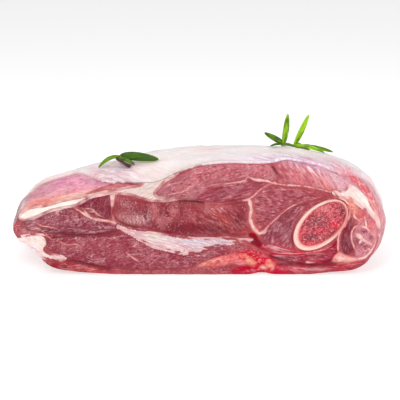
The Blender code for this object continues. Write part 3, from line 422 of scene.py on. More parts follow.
CUT_TURNS, CUT_REACHES = as_reach(CUT_OUTLINE)
RIDGE_TURNS, RIDGE_REACHES = as_reach(RIDGE_OUTLINE)


def mottle(points, size, seed):
    """Smooth lumps of about this size, from -1 to 1, the same each time."""
    at = points / size + 19.7 * seed + 1000
    cell = np.floor(at)
    share = at - cell
    share = share * share * (3 - 2 * share)
    total = np.zeros(len(points))
    for corner in np.ndindex(2, 2, 2):
        chance = np.sin((cell + corner) @ (12.9898, 78.233, 37.719)) * 43758.5453 % 1
        total += (2 * chance - 1) * np.prod(np.where(corner, share, 1 - share), axis=1)
    return total


def side(turn, run):
    """A point on the joint's side. turn goes round from the right over the top, and run goes
    from 0 at the cut to 1 at the rear."""
    blend = 1 - (1 - np.clip(run / RIDGE_RUN, 0, 1)) ** 2
    at_cut = through(CUT_TURNS, CUT_REACHES, turn, math.tau)
    at_ridge = through(RIDGE_TURNS, RIDGE_REACHES, turn, math.tau)
    reach = at_cut + (at_ridge - at_cut) * blend
    x = HALF_LENGTH * reach * np.cos(turn)
    z = MIDDLE_HEIGHT * (1 + reach * np.sin(turn))
    x = x * through(RUNS, WIDTHS, run)
    z = np.maximum(z * through(RUNS, HEIGHTS, run), 0)
    z = z + np.maximum(through(RUNS, LIFTS, run), 0)
    return np.stack([x, CUT_Y + through(RUNS, DEPTHS, run), z], -1)


def outward(turn, run):
    """The direction straight out of the joint's side."""
    step = 0.004
    round_it = side(turn + step, run) - side(turn - step, run)
    low, high = np.clip(run - step, 0, 1), np.clip(run + step, 0, 1)
    normal = np.cross(side(turn, high) - side(turn, low), round_it)
    return normal / np.linalg.norm(normal, axis=-1, keepdims=True)


def smooth_run(corners, steps=4, closed=True):
    """The smooth curve through these corners, as points."""
    p = np.array(corners, float)
    if not closed:
        p = np.concatenate([2 * p[:1] - p[1:2], p, 2 * p[-1:] - p[-2:-1]])
    before, after, beyond = np.roll(p, 1, 0), np.roll(p, -1, 0), np.roll(p, -2, 0)
    s = (np.arange(steps) / steps)[:, None, None]
    curve = 2 * p + (after - before) * s + (2 * before - 5 * p + 4 * after - beyond) * s**2
    curve = (curve + (3 * p - before - 3 * after + beyond) * s**3) / 2
    if closed:
        return curve.transpose(1, 0, 2).reshape(-1, 2)
    return np.concatenate([curve[:, 1:-2].transpose(1, 0, 2).reshape(-1, 2), p[-2:-1]])


def to_line(x, z, line, closed=False):
    """How far each point is from a line, and how far along it the nearest place is."""
    ends = np.roll(line, -1, 0) if closed else line[1:]
    starts = line if closed else line[:-1]
    edge = ends - starts
    from_start = np.stack([x, z], -1)[:, None] - starts
    share = np.clip((from_start * edge).sum(-1) / (edge**2).sum(-1), 0, 1)
    away = np.linalg.norm(from_start - share[..., None] * edge, axis=-1)
    nearest = away.argmin(1)
    rows = np.arange(len(x))
    return away[rows, nearest], (nearest + share[rows, nearest]) / len(edge)


def in_box(x, z, line, reach):
    """Which points lie within this reach of the box round a line."""
    low, high = line.min(0) - reach, line.max(0) + reach
    return (x > low[0]) & (x < high[0]) & (z > low[1]) & (z < high[1])


def depth_inside(x, z, loop, reach=8.0):
    """How far inside a closed outline each point lies, negative outside. Points further out
    than this reach aren't measured."""
    result = np.full(x.shape, -reach)
    near = in_box(x, z, loop, reach)
    px, pz = x[near], z[near]
    away = to_line(px, pz, loop, closed=True)[0]
    ends = np.roll(loop, -1, 0)
    passes = (loop[:, 1] > pz[:, None]) != (ends[:, 1] > pz[:, None])
    rise = np.where(ends[:, 1] == loop[:, 1], 1, ends[:, 1] - loop[:, 1])
    crossing = loop[:, 0] + (pz[:, None] - loop[:, 1]) / rise * (ends - loop)[:, 0]
    inside = (passes & (px[:, None] < crossing)).sum(1) % 2 == 1
    result[near] = np.where(inside, away, -away)
    return result


def ease(value, low, high):
    """0 below low, 1 above high, and a soft step between."""
    share = np.clip((value - low) / (high - low), 0, 1)
    return share * share * (3 - 2 * share)


def turned(x, z, degrees):
    """How far along a slanting direction each point lies, and how far across it."""
    turn = math.radians(degrees)
    along = x * math.cos(turn) + z * math.sin(turn)
    return along, z * math.cos(turn) - x * math.sin(turn)


def degrees_from(angles, angle):
    """How far round the joint the angles lie from this one, from -180 to 180."""
    return (angles - angle + 180) % 360 - 180


def oval(across, up, half_length, half_width, lies):
    """How strongly a soft oval covers points this far from its middle."""
    along, over = turned(across, up, lies)
    return np.exp(-((along / half_length) ** 2 + (over / half_width) ** 2))


def sum_of_ovals(across, up, table):
    """What the soft ovals of a table add up to at each point."""
    total = np.zeros(across.shape)
    for x, z, half_length, half_width, lies, amount in table:
        total += amount * oval(across - x, up - z, half_length, half_width, lies)
    return total


def dabbed(tint, across, up, dabs, worn=1.0, round_the_side=False):
    """The tint with the dabs of colour laid over it, one after the other. Their borders are worn,
    and round the side their places are angles."""
    for x, z, half_length, half_width, lies, colour, strength in dabs:
        apart = degrees_from(across, x) if round_the_side else across - x
        cover = strength * oval(apart, up - z, half_length, half_width, lies)
        cover = np.clip(cover * worn, 0, 1)
        tint = tint + (srgb(*colour) - tint) * cover[:, None]
    return tint


def clouded(tint, points, clouds, span, hold):
    """The tint with broad clouds of colour laid over it, as strongly as hold says."""
    for size, seed, low, colour, strength in clouds:
        patch = ease(mottle(points, size, seed), low, low + span) * hold
        tint = tint + (srgb(*colour) - tint) * strength * patch[:, None]
    return tint


def side_lumps(points):
    """How far the side stands out in low lumps, which fade at the cut and at the board."""
    lumps = 0.7 * mottle(points, 16, 6) + 0.25 * mottle(points, 5, 7)
    return lumps * ease(points[:, 1] - CUT_Y, 0, 8) * ease(points[:, 2], 0.5, 8)


def deselect():
    if bpy.context.object and bpy.context.object.mode == "EDIT":
        bpy.ops.object.mode_set(mode="OBJECT")
    bpy.ops.object.select_all(action="DESELECT")


def pick(*pieces):
    """Selects these pieces alone, and makes the last one active."""
    deselect()
    for piece in pieces:
        piece.select_set(True)
    bpy.context.view_layer.objects.active = pieces[-1]


def new_grid(name, cells_across, cells_up):
    """A flat grid over -1 to 1, selected and active."""
    deselect()
    bpy.ops.mesh.primitive_grid_add(
        x_subdivisions=cells_across, y_subdivisions=cells_up, size=2
    )
    piece = bpy.context.object
    piece.name = piece.data.name = name
    return piece


def edit_all():
    """Goes into edit mode with the whole piece selected."""
    bpy.ops.object.mode_set(mode="EDIT")
    bpy.ops.mesh.select_all(action="SELECT")


def draw_back(rings):
    """Extrudes the border of the grid once for each ring, and stays in edit mode."""
    edit_all()
    bpy.ops.mesh.region_to_loop()
    for ring in range(rings):
        bpy.ops.mesh.extrude_edges_move(TRANSFORM_OT_translate={"value": (0, 0, 1)})


def as_disc(u, w):
    """The square grid's points, moved to lie on a round disc."""
    return u * np.sqrt(1 - w * w / 2), w * np.sqrt(1 - u * u / 2)


def points_of(piece):
    flat = np.empty(len(piece.data.vertices) * 3)
    piece.data.vertices.foreach_get("co", flat)
    return flat.reshape(-1, 3)


def set_points(piece, points):
    piece.data.vertices.foreach_set("co", np.ascontiguousarray(points, float).ravel())
    piece.data.update()


def normals_of(piece):
    flat = np.empty(len(piece.data.vertices) * 3)
    piece.data.vertex_normals.foreach_get("vector", flat)
    return flat.reshape(-1, 3)


def face_corners(piece):
    """The vertex at each corner of each face, and where each face's corners start."""
    corners = np.empty(len(piece.data.loops), int)
    piece.data.loops.foreach_get("vertex_index", corners)
    starts = np.empty(len(piece.data.polygons), int)
    piece.data.polygons.foreach_get("loop_start", starts)
    return corners, starts


def keep_values(piece, name, values):
    """Stores a number, a colour or a direction for each vertex of the piece."""
    values = np.asarray(values, float)
    kind, field = ("FLOAT", "value") if values.ndim == 1 else ("FLOAT_VECTOR", "vector")
    store = piece.data.attributes.new(name, kind, "POINT")
    store.data.foreach_set(field, values.ravel())


def finish_mesh(piece):
    pick(piece)
    bpy.ops.object.shade_smooth()


class Wire:
    """A shader value. Arithmetic on it adds Math nodes."""

    def __init__(self, socket):
        self.socket = socket

    @staticmethod
    def node(tree, kind, settings=(), inputs=(), out=0):
        """Adds a node with these settings and inputs, and gives one of its outputs."""
        made = tree.nodes.new(kind)
        for key, value in dict(settings).items():
            setattr(made, key, value)
        for key, value in dict(inputs).items():
            if isinstance(value, Wire):
                tree.links.new(value.socket, made.inputs[key])
            else:
                made.inputs[key].default_value = value
        return Wire(made.outputs[out])

    def make(self, kind, settings=(), inputs=(), out=0):
        return Wire.node(self.socket.id_data, kind, settings, inputs, out)

    def math(self, operation, first, second):
        return self.make("ShaderNodeMath", {"operation": operation}, {0: first, 1: second})

    def size(self):
        """This value without its sign."""
        return self.math("ABSOLUTE", self, 0.0)

    def __add__(self, other):
        return self.math("ADD", self, other)

    def __sub__(self, other):
        return self.math("SUBTRACT", self, other)

    def __rsub__(self, other):
        return self.math("SUBTRACT", other, self)

    def __mul__(self, other):
        return self.math("MULTIPLY", self, other)

    __radd__ = __add__
    __rmul__ = __mul__

    def green(self):
        """How much green is in this colour."""
        return self.make("ShaderNodeSeparateColor", (), {0: self}, 1)

    def step(self, low, high):
        """0 below low, 1 above high, and a soft step between."""
        settings = {"interpolation_type": "SMOOTHSTEP"}
        inputs = {"Value": self, "From Min": low, "From Max": high}
        return self.make("ShaderNodeMapRange", settings, inputs)

    def stretched(self, *factors):
        inputs = {0: self, 1: factors}
        return self.make("ShaderNodeVectorMath", {"operation": "MULTIPLY"}, inputs)

    def noise(self, scale, detail, roughness, distortion=0.0):
        inputs = {"Vector": self, "Scale": scale, "Detail": detail,
                  "Roughness": roughness, "Distortion": distortion}
        return self.make("ShaderNodeTexNoise", (), inputs)

    def cells(self, scale, feature="F1"):
        inputs = {"Vector": self, "Scale": scale}
        return self.make("ShaderNodeTexVoronoi", {"feature": feature}, inputs)

    def mix(self, other, share):
        """This colour with another mixed in by this share."""
        other = other if isinstance(other, Wire) else (*other, 1)
        inputs = {0: share, 6: self, 7: other}
        return self.make("ShaderNodeMix", {"data_type": "RGBA"}, inputs, 2)


def new_finish(name, **fixed):
    """A material, its node tree and its shader, with these sockets set."""
    material = bpy.data.materials.new(name)
    material.use_nodes = True
    shader = material.node_tree.nodes["Principled BSDF"]
    for key, value in fixed.items():
        shader.inputs[key.replace("_", " ")].default_value = value
    return material, material.node_tree, shader


def attribute(tree, name, out="Vector"):
    return Wire.node(tree, "ShaderNodeAttribute", {"attribute_name": name}, out=out)


def numbers(tree, *names):
    """The numbers that the piece stores under these names."""
    return [attribute(tree, name, "Fac") for name in names]


def place_on(tree):
    """The place on the piece, in millimetres."""
    return Wire.node(tree, "ShaderNodeTexCoord", out="Object").stretched(1000, 1000, 1000)


def plain_colour(tree, *colour):
    node = Wire.node(tree, "ShaderNodeRGB")
    node.socket.default_value = (*srgb(*colour), 1)
    return node


def plug(tree, shader, **values):
    for key, value in values.items():
        tree.links.new(value.socket, shader.inputs[key.replace("_", " ")])


def bumped(height, strength, distance):
    """A normal from a height in millimetres."""
    inputs = {"Height": height, "Strength": strength, "Distance": distance * MM}
    return height.make("ShaderNodeBump", (), inputs)


# The skin of the lean starts as a flat grid for the cut. Its border is drawn back ring by ring
# for the side and the rear, and closed in the middle of the rear.
lean = new_grid("lean_meat", *FACE_CELLS)
draw_back(SIDE_RINGS + REAR_RINGS)
bpy.ops.mesh.merge(type="CENTER")
bpy.ops.object.mode_set(mode="OBJECT")
u, w, lean_ring = points_of(lean).T
lean_ring = np.round(lean_ring)
across, up = as_disc(u, w)
lean_turn = np.arctan2(up, across) % math.tau
radius = np.where(lean_ring > 0, 1.0, np.hypot(across, up))
share_back = np.clip(lean_ring / SIDE_RINGS, 0, 1)
lean_run = 0.25 * share_back + 0.75 * share_back**2
rear_in = np.clip((lean_ring - SIDE_RINGS) / REAR_RINGS, 0, 1)
radius = np.where(rear_in > 0, 1 - rear_in, radius)
rim = side(lean_turn, lean_run)
middle = np.zeros_like(rim)
middle[:, 1] = rim[:, 1] + REAR_SWELL * (rear_in > 0)
middle[:, 2] = MIDDLE_HEIGHT * through(RUNS, HEIGHTS, lean_run)
middle[:, 2] += np.maximum(through(RUNS, LIFTS, lean_run), 0) * (rear_in > 0)
lean_points = middle + (rim - middle) * radius[:, None]
on_rear = rear_in > 0
lean_points[on_rear, 1] = rim[on_rear, 1] + REAR_SWELL * (1 - radius[on_rear] ** 2)
on_cut = lean_ring == 0
on_side = ~on_cut
face_x, face_z = lean_points[on_cut][:, [0, 2]].T

swell = np.full(face_x.shape, -GROOVE)
tint = np.tile(srgb(*BETWEEN_MUSCLES), (len(face_x), 1))
grain = np.stack([face_x / 2, face_z, np.zeros_like(face_x)], -1)
flecks = np.full(face_x.shape, 0.4)
streaks = np.full(face_x.shape, 0.5)
belongs = np.zeros(face_x.shape)
for number, muscle in enumerate(MUSCLES.values(), 1):
    most, colour, angle, drawn, streaky, fat, outline = muscle
    depth = depth_inside(face_x, face_z, smooth_run(outline))
    share = np.clip(depth / SWELL_OVER, 0, 1)
    swell = np.maximum(swell, -GROOVE + (most + GROOVE) * np.sqrt(share * (2 - share)))
    inside = ease(depth, -0.7, 0.5)
    tint = tint + (srgb(*colour) - tint) * inside[:, None]
    along, over = turned(face_x, face_z, angle)
    bent = over + GRAIN_BOW * (along - along.mean()) ** 2
    own = np.stack([along / drawn, bent, np.full_like(along, angle)], -1)
    grain = np.where(inside[:, None] > 0.5, own, grain)
    belongs = np.where(inside > 0.5, number, belongs)
    flecks = flecks + (fat - flecks) * inside
    streaks = streaks + (streaky - streaks) * inside
flecks = flecks + sum_of_ovals(face_x, face_z, MARBLED)
tint = dabbed(tint, face_x, face_z, FACE_DABS)


def along_line(corners, reach):
    """Which points of the cut lie near a line, how far from it, and how far from its ends, as a
    share of its length."""
    line = smooth_run(corners, closed=False)
    near = in_box(face_x, face_z, line, reach)
    away, share = to_line(face_x[near], face_z[near], line)
    return near, away, np.minimum(share, 1 - share)


face_3d = np.stack([face_x, np.zeros_like(face_x), face_z], -1)
wander = 0.5 * mottle(face_3d, 4.1, 1) + 0.4 * mottle(face_3d, 1.7, 2)
drift = np.abs(mottle(face_3d, 2.4, 8))
seam = np.full(face_x.shape, SEAM_REACH)
for half, corners in SEAMS:
    near, away, from_end = along_line(corners, SEAM_REACH)
    width = half * np.clip(6 * from_end, 0.25, 1) * np.maximum(0.8 + 0.8 * wander[near], 0.3)
    seam[near] = np.minimum(seam[near], away + 0.35 * drift[near] - width)
crease = np.zeros(face_x.shape)
for wide, deep, corners in CREASES:
    near, away, from_end = along_line(corners, CREASE_REACH)
    sunk = deep * ease(from_end, 0, 0.15) * np.exp(-((away / wide) ** 2))
    crease[near] = np.maximum(crease[near], sunk)

rim_depth = depth_inside(face_x, face_z, smooth_run(CUT_OUTLINE), 300)
relief = swell * ease(rim_depth, 0, 3)
relief += 0.35 * mottle(face_3d, 9, 3) + 0.3 * mottle(face_3d, 3.6, 4)
relief += 0.12 * mottle(grain, 1.5, 5)
relief += sum_of_ovals(face_x, face_z, LUMPY) * mottle(face_3d, 2.8, 9)
relief += 0.25 * ease(-seam, -0.6, 0.3) - crease
relief = relief * ease(rim_depth, -0.5, 2.5) - WORN_RIM * (1 - ease(rim_depth, -1.5, 2.5))
lean_points[on_cut, 1] = CUT_Y - relief
side_points = lean_points[on_side]
lumps = side_lumps(side_points)
from_cut = side_points[:, 1] - CUT_Y
side_points[:, 1] += WORN_RIM * 0.35 * np.exp(-from_cut / 2)
lean_points[on_side] = side_points + outward(lean_turn, lean_run)[on_side] * lumps[:, None]
lean_points[:, 2] = np.maximum(lean_points[:, 2], 0)
behind = np.maximum(lean_points[:, 1] - CUT_Y, 0)
arch_x, arch_half, arch_deep, arch_high = EDGE_ARCH
arch = np.exp(-(((lean_points[:, 0] - arch_x) / arch_half) ** 2) - (behind / arch_deep) ** 2)
lean_points[:, 2] += arch_high * arch * ease(lean_points[:, 2], 5, 0)
set_points(lean, lean_points * MM)
finish_mesh(lean)

full_tint = np.tile(srgb(*BARE_LEAN), (len(lean_ring), 1))
full_tint[on_cut] = tint
angle_round = np.degrees(lean_turn[on_side])
worn_edge = 0.9 + 0.45 * mottle(side_points, 2.4, 57) + 0.3 * mottle(side_points, 6, 58)
side_tint = dabbed(full_tint[on_side], angle_round, from_cut, SIDE_DABS, worn_edge, True)
behind_flap = ease(from_cut, 20, 45)
full_tint[on_side] = clouded(side_tint, side_points, SIDE_CLOUDS, 0.4, behind_flap)
full_tint = np.maximum(full_tint - (0.0, WET_SHEEN, WET_SHEEN), 0.001)
full_grain = lean_points / (5, 1.4, 1)
full_grain[on_cut] = grain
beaded = np.zeros(lean_ring.shape)
bead_angle, bead_deep, *bead_halves = BEADED
bead_apart = degrees_from(angle_round, bead_angle)
beaded[on_side] = oval(bead_apart, from_cut - bead_deep, *bead_halves, 0)


def all_over(on_the_cut, elsewhere):
    """Values for the whole lean, from those of the cut and one number for the rest."""
    values = np.full(lean_ring.shape, float(elsewhere))
    values[on_cut] = on_the_cut
    return values


# The grain turns from one muscle to the next, so no grain is drawn on the cells in between.
corners, starts = face_corners(lean)
owners = all_over(belongs, -1)[corners]
shared = np.maximum.reduceat(owners, starts) != np.minimum.reduceat(owners, starts)
sizes = np.diff(np.append(starts, len(corners)))
whole = np.ones(lean_ring.shape)
whole[corners[np.repeat(shared, sizes)]] = 0
for name, values in (
    ("tint", full_tint), ("grain", full_grain), ("beaded", beaded), ("whole", whole),
    ("lobed", all_over(sum_of_ovals(face_x, face_z, LOBED), 0)),
    ("veiled", all_over(sum_of_ovals(face_x, face_z, VEILED), 0)),
    ("flecks", all_over(flecks, 0.7)), ("streaks", all_over(streaks, 0.45)),
    ("seam", all_over(seam, SEAM_REACH)), ("crease", all_over(crease, 0)),
):
    keep_values(lean, name, values)

lean_finish, tree, shader = new_finish(
    "raw_lean", Subsurface_Weight=0.22, Subsurface_Radius=(1.0, 0.35, 0.28),
    Subsurface_Scale=0.0022, Specular_IOR_Level=0.06, Coat_Roughness=0.1, Coat_IOR=1.4,
)
place = place_on(tree)
along_grain = attribute(tree, "grain")
base = attribute(tree, "tint", "Color")
fleck_amount, streaky = numbers(tree, "flecks", "streaks")
seam_away, crease_depth = numbers(tree, "seam", "crease")
lobed, veiled, beaded, whole = numbers(tree, "lobed", "veiled", "beaded", "whole")
fibres = along_grain.noise(0.62, 5, 0.66)
bundles = along_grain.stretched(1, 0.8, 1).cells(0.36, "DISTANCE_TO_EDGE")
clouds = place.noise(0.13, 3, 0.55)
folds = along_grain.stretched(0.6, 1, 1).noise(0.26, 4, 0.6, 0.9)
speckle = place.noise(1.0, 3, 0.65)
fine = along_grain.stretched(1.5, 1.2, 1).noise(0.85, 3, 0.6)
pale_enough = base.green().step(0.0, 0.05)
drawn = whole * streaky
marked = streaky * 0.7 + 0.35
patchy = place.noise(0.28, 2, 0.5).step(0.34, 0.62)
fine_skin = bundles.step(0.07, 0.0) * speckle.step(0.38, 0.56) * whole
thread = (folds - 0.5).size().step(0.024, 0.0) * clouds.step(0.42, 0.56)
fat_flecks = thread * fleck_amount * whole
shade = base.mix(base.mix((0.0, 0.0, 0.0), 0.62), fibres.step(0.54, 0.30) * drawn)
# Light streaks along the fibres and fine light marks: partly the fibres' own paler colour, partly
# painted highlights of wet meat. The dark blood gets none.
shade = shade.mix(base.mix((1.0, 0.62, 0.64), 0.42), fibres.step(0.53, 0.72) * drawn * pale_enough)
shade = shade.mix(base.mix((0.10, 0.0, 0.01), 0.68), fine.step(0.51, 0.34) * whole * marked)
light_fibres_and_sheen = fine.step(0.52, 0.65) * whole * pale_enough
shade = shade.mix(base.mix((1.0, 0.54, 0.58), 0.42), light_fibres_and_sheen * (0.15 + patchy * 0.85) * marked)
shade = shade.mix(base.mix((0.22, 0.01, 0.03), 0.50), clouds.step(0.50, 0.36) * 0.55)
shade = shade.mix(base.mix((1.0, 0.46, 0.50), 0.24), clouds.step(0.54, 0.70) * pale_enough * 0.6)
shade = shade.mix(srgb(228, 160, 164), fine_skin * fleck_amount * 0.26)
shade = shade.mix(srgb(238, 184, 186), fat_flecks * 0.75)
veil = along_grain.stretched(0.5, 1.2, 1).noise(0.66, 3, 0.6)
shade = shade.mix(srgb(250, 216, 222), veil.step(0.45, 0.62) * veiled * whole * 0.85)
lobes = place.stretched(0.7, 0.3, 1).noise(0.62, 3, 0.5)
shade = shade.mix(srgb(252, 168, 156), lobes.step(0.55, 0.64) * lobed * 0.7)
shade = shade.mix(srgb(196, 0, 34), lobes.step(0.49, 0.40) * lobed * 0.9)
blobs = place.stretched(0.55, 0.3, 0.55).noise(0.62, 3, 0.55)
shade = shade.mix(srgb(255, 196, 198), blobs.step(0.53, 0.60) * beaded * 0.9)
shade = shade.mix(srgb(234, 40, 68), blobs.step(0.50, 0.42) * beaded * 0.9)
# Painted shade: the lean is darkened in its creases, the more the deeper they sink.
shade = shade.mix(srgb(84, 16, 26), crease_depth.step(0.2, 1.5) * 0.75)
seam_edge = seam_away + (speckle - 0.5) * 0.8
shade = shade.mix(srgb(226, 132, 132), seam_edge.step(0.75, 0.0) * 0.55)
shade = shade.mix(srgb(250, 214, 206), seam_edge.step(0.22, -0.25) * (0.45 + patchy * 0.45))
height = fibres * whole * 0.5 + speckle * 0.5 + fat_flecks * 0.25
height = height + seam_edge.step(0.4, -0.3) * 0.3
wet = speckle.step(0.46, 0.60)
plug(
    tree, shader, Base_Color=shade, Roughness=0.5 - wet * 0.2,
    Coat_Weight=wet * (0.15 + pale_enough * 0.45), Normal=bumped(height, 1.0, 0.8),
)
lean.data.materials.append(lean_finish)
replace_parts(lean, "lean")
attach(lean, "root")
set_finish(lean, "lean")


# ---- Sheets of fat between the muscles --------------------------------------------------------
# Hard white fat fills the gaps between the muscles and runs back into the joint. The knife left
# it just proud of the lean. Each sheet is peeled off the lean's own skin, so it fits it.
PEEL_DEPTH = 2.4
BORDER_SINK = 0.9  # how far a sheet's border dips into the lean
SKIN_LEFT = 1.5  # how far past its outline the skin is kept


def thicken(piece, thickness):
    """Gives the active sheet its back, this far below its front."""
    back = piece.modifiers.new("Back", "SOLIDIFY")
    back.thickness = thickness * MM
    back.offset = -1
    bpy.ops.object.modifier_apply(modifier=back.name)


def peeled(name, on_side, outline, proud, ragged, fray, seed, colour, blushes):
    """The part of the lean's skin that an outline holds, raised a little and given a back. It
    shows on the side of the joint this far behind the cut. fray is the angle that its border
    is torn along, and how far."""
    x, z = lean_points[:, 0], lean_points[:, 2]
    behind = np.maximum(lean_points[:, 1] - CUT_Y - 1, 0)
    held = depth_inside(x, z, smooth_run(outline, 3), 6)
    held = np.where(lean_ring > 0, np.minimum(held, on_side - behind), held)
    angle, torn = fray
    along, over = turned(x, z, angle)
    strands = 0.6 * mottle(np.stack([along / 5, over, behind], -1), 1.7, seed + 5)
    strands += 0.5 * mottle(np.stack([along / 10, over, behind], -1), 3.0, seed + 6)
    held = held + ragged * mottle(lean_points, 3, seed) + torn * strands
    pick(lean)
    bpy.ops.object.duplicate()
    piece = bpy.context.object
    piece.name = piece.data.name = name
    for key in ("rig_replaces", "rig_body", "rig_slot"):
        if key in piece:
            del piece[key]
    piece.data.materials.clear()
    keep_values(piece, "held", held)
    keep_values(piece, "strands", strands)
    keep_values(piece, "lie", np.stack([along / 6, over, behind], -1))
    own = np.tile(srgb(*colour), (len(x), 1))
    keep_values(piece, "own", dabbed(own, x, z, blushes))
    lifted = BORDER_SINK * (ease(held, -1.6, -0.7) - 1) + 0.12 * ease(held, -0.8, 0)
    lifted += proud * ease(held, -0.1, 1.2)
    lifted += 0.14 * mottle(lean_points, 2.6, seed + 3) * ease(held, 0, 1)
    lifted += 0.10 * strands * ease(held, 0, 1)
    set_points(piece, (lean_points + lean_normals * lifted[:, None]) * MM)
    keep_values(piece, "back", (lean_points - lean_normals * PEEL_DEPTH) * MM)
    corners, starts = face_corners(piece)
    outside = np.maximum.reduceat(held[corners], starts) < -SKIN_LEFT
    bpy.ops.object.mode_set(mode="EDIT")
    bpy.ops.mesh.select_mode(type="FACE")
    bpy.ops.mesh.select_all(action="DESELECT")
    bpy.ops.object.mode_set(mode="OBJECT")
    piece.data.polygons.foreach_set("select", outside)
    bpy.ops.object.mode_set(mode="EDIT")
    bpy.ops.mesh.delete(type="FACE")
    bpy.ops.object.mode_set(mode="OBJECT")
    front = points_of(piece)
    thicken(piece, PEEL_DEPTH)
    back = np.empty(len(piece.data.vertices) * 3)
    piece.data.attributes["back"].data.foreach_get("vector", back)
    set_points(piece, np.concatenate([front, back.reshape(-1, 3)[len(front):]]))
    return piece


lean_normals = normals_of(lean)
flat_share = ease(rim_depth, 0.5, 4)[:, None]
lean_normals[on_cut] = lean_normals[on_cut] * (1 - flat_share) + np.array((0, -1, 0)) * flat_share
lean_normals /= np.linalg.norm(lean_normals, axis=1, keepdims=True)


def fat_finish(name, flush, streaked):
    """Raw fat: waxy, faintly translucent, with pink blushes and fine grain."""
    material, tree, shader = new_finish(
        name, Subsurface_Weight=0.35, Subsurface_Radius=(1.0, 0.62, 0.5),
        Subsurface_Scale=0.003, Coat_Roughness=0.22, Coat_IOR=1.38, Specular_IOR_Level=0.3,
    )
    place = place_on(tree)
    clouds = place.noise(0.16, 3, 0.55)
    grain = place.stretched(0.4, 1, 1).noise(0.9, 4, 0.6)
    beads = place.noise(1.4, 2, 0.6)
    held, strands = numbers(tree, "held", "strands")
    lines = attribute(tree, "lie").noise(1.15, 4, 0.62)
    shade = attribute(tree, "own", "Color")
    shade = shade.mix(srgb(*flush), clouds.step(0.48, 0.72) * 0.4)
    shade = shade.mix(srgb(*flush), strands.step(0.05, 0.4) * streaked)
    shadow = shade.mix((0.42, 0.30, 0.38), 0.5)
    shade = shade.mix(shadow, lines.step(0.50, 0.64) * (0.3 + streaked * 0.8))
    shade = shade.mix(srgb(254, 244, 240), lines.step(0.49, 0.38) * (0.3 + streaked * 0.6))
    shade = shade.mix(srgb(236, 160, 156), (held + beads).step(1.2, 0.5) * 0.45)
    # Round its border the sheet takes the lean's colour, a little darkened: painted shade where fat
    # and lean meet.
    lean_beside = attribute(tree, "tint", "Color")
    shade = shade.mix(lean_beside.mix((0.12, 0.0, 0.01), 0.22), held.step(0.12, -0.14))
    shade = shade.mix(srgb(226, 138, 140), grain.step(0.60, 0.72) * clouds.step(0.42, 0.6) * 0.5)
    height = grain * 0.3 + lines * 0.6 + beads * 0.4
    plug(
        tree, shader, Base_Color=shade, Roughness=0.5 - beads.step(0.4, 0.6) * 0.14,
        Coat_Weight=beads.step(0.45, 0.65) * 0.35, Normal=bumped(height, 0.7, 0.5),
    )
    return material


def add_sheet(
    name, node, outline, colour, flush, streaked, blushes=(), on_side=0, proud=0.45,
    ragged=0.25, fray=(0, 0.15), seed=0,
):
    """One sheet of fat: its CAD node, its outline and its colours. The blushes are dabs of
    colour on it."""
    piece = peeled(name, on_side, outline, proud, ragged, fray, seed, colour, blushes)
    finish_mesh(piece)
    piece.data.materials.append(fat_finish(name, flush, streaked))
    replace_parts(piece, node)
    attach(piece, "root")
    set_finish(piece, "fat")


# The white wedge in the middle of the cut, which fills the groove between two long muscles.
add_sheet("middle_seam_fat", "seam_fat", (
    (-51, 31.3), (-46, 29.3), (-39.6, 27.3), (-33.3, 27.2), (-27, 26.8), (-21.9, 25.9),
    (-14.6, 24.7), (-6.9, 23.7), (6.3, 23.1), (18, 23.2), (25, 23.1), (32.5, 22.6), (25, 21.2),
    (16.7, 19.9), (11.4, 19), (6.3, 17.5), (1.1, 16.8), (-0.6, 15.4), (-5.8, 15.8),
    (-9.6, 15.4), (-7.8, 13.8), (-13.6, 14.1), (-18.8, 15.8), (-23.4, 16.9), (-28.1, 18),
    (-35.4, 21.4), (-40.6, 24.3), (-46.5, 27.8), (-51, 30.6)),
    (226, 196, 196), (204, 156, 168), 0.5, (
        (-44, 28, 8, 3, -25, (234, 180, 178), 0.8), (-4, 21.8, 12, 2.4, -8, (200, 190, 210), 0.85),
        (-29, 24.6, 6, 2.2, -8, (226, 214, 198), 0.9), (-14, 15.6, 9, 1.6, -18, (244, 208, 214), 0.7),
        (14, 21.4, 9, 1.4, 0, (208, 192, 206), 0.8), (27, 22.1, 5, 1.4, 0, (232, 184, 186), 0.8),
        (-32, 20.6, 9, 1.4, -28, (240, 196, 196), 0.7), (-10, 18.6, 8, 1.6, -14, (212, 160, 176), 0.6),
    ), fray=(-16, 0.8), seed=11)
# The ivory band at the upper left, the edge of a sheet that lies on the long lower muscle.
add_sheet("left_edge_fat", "edge_fat_left", (
    (-113, 37.2), (-110.8, 40.6), (-106.4, 43.0), (-99.4, 43.9), (-93.9, 45.3), (-85.6, 47.8),
    (-78.3, 49.2), (-71.2, 50.7), (-66, 51.4), (-70.6, 49), (-75.2, 46.2), (-78.3, 44.7),
    (-85.6, 43.3), (-92.9, 41.7), (-99.2, 39), (-104.4, 36.6), (-110, 35.3)), (252, 240, 230),
    (242, 214, 204), 0.2, (
        (-72, 48.6, 5, 2, 15, (242, 204, 196), 0.8), (-104, 37.6, 6, 0.8, 10, (250, 216, 204), 0.7),
    ), on_side=2, proud=0.7, ragged=0.1, fray=(13, 0.05), seed=12)
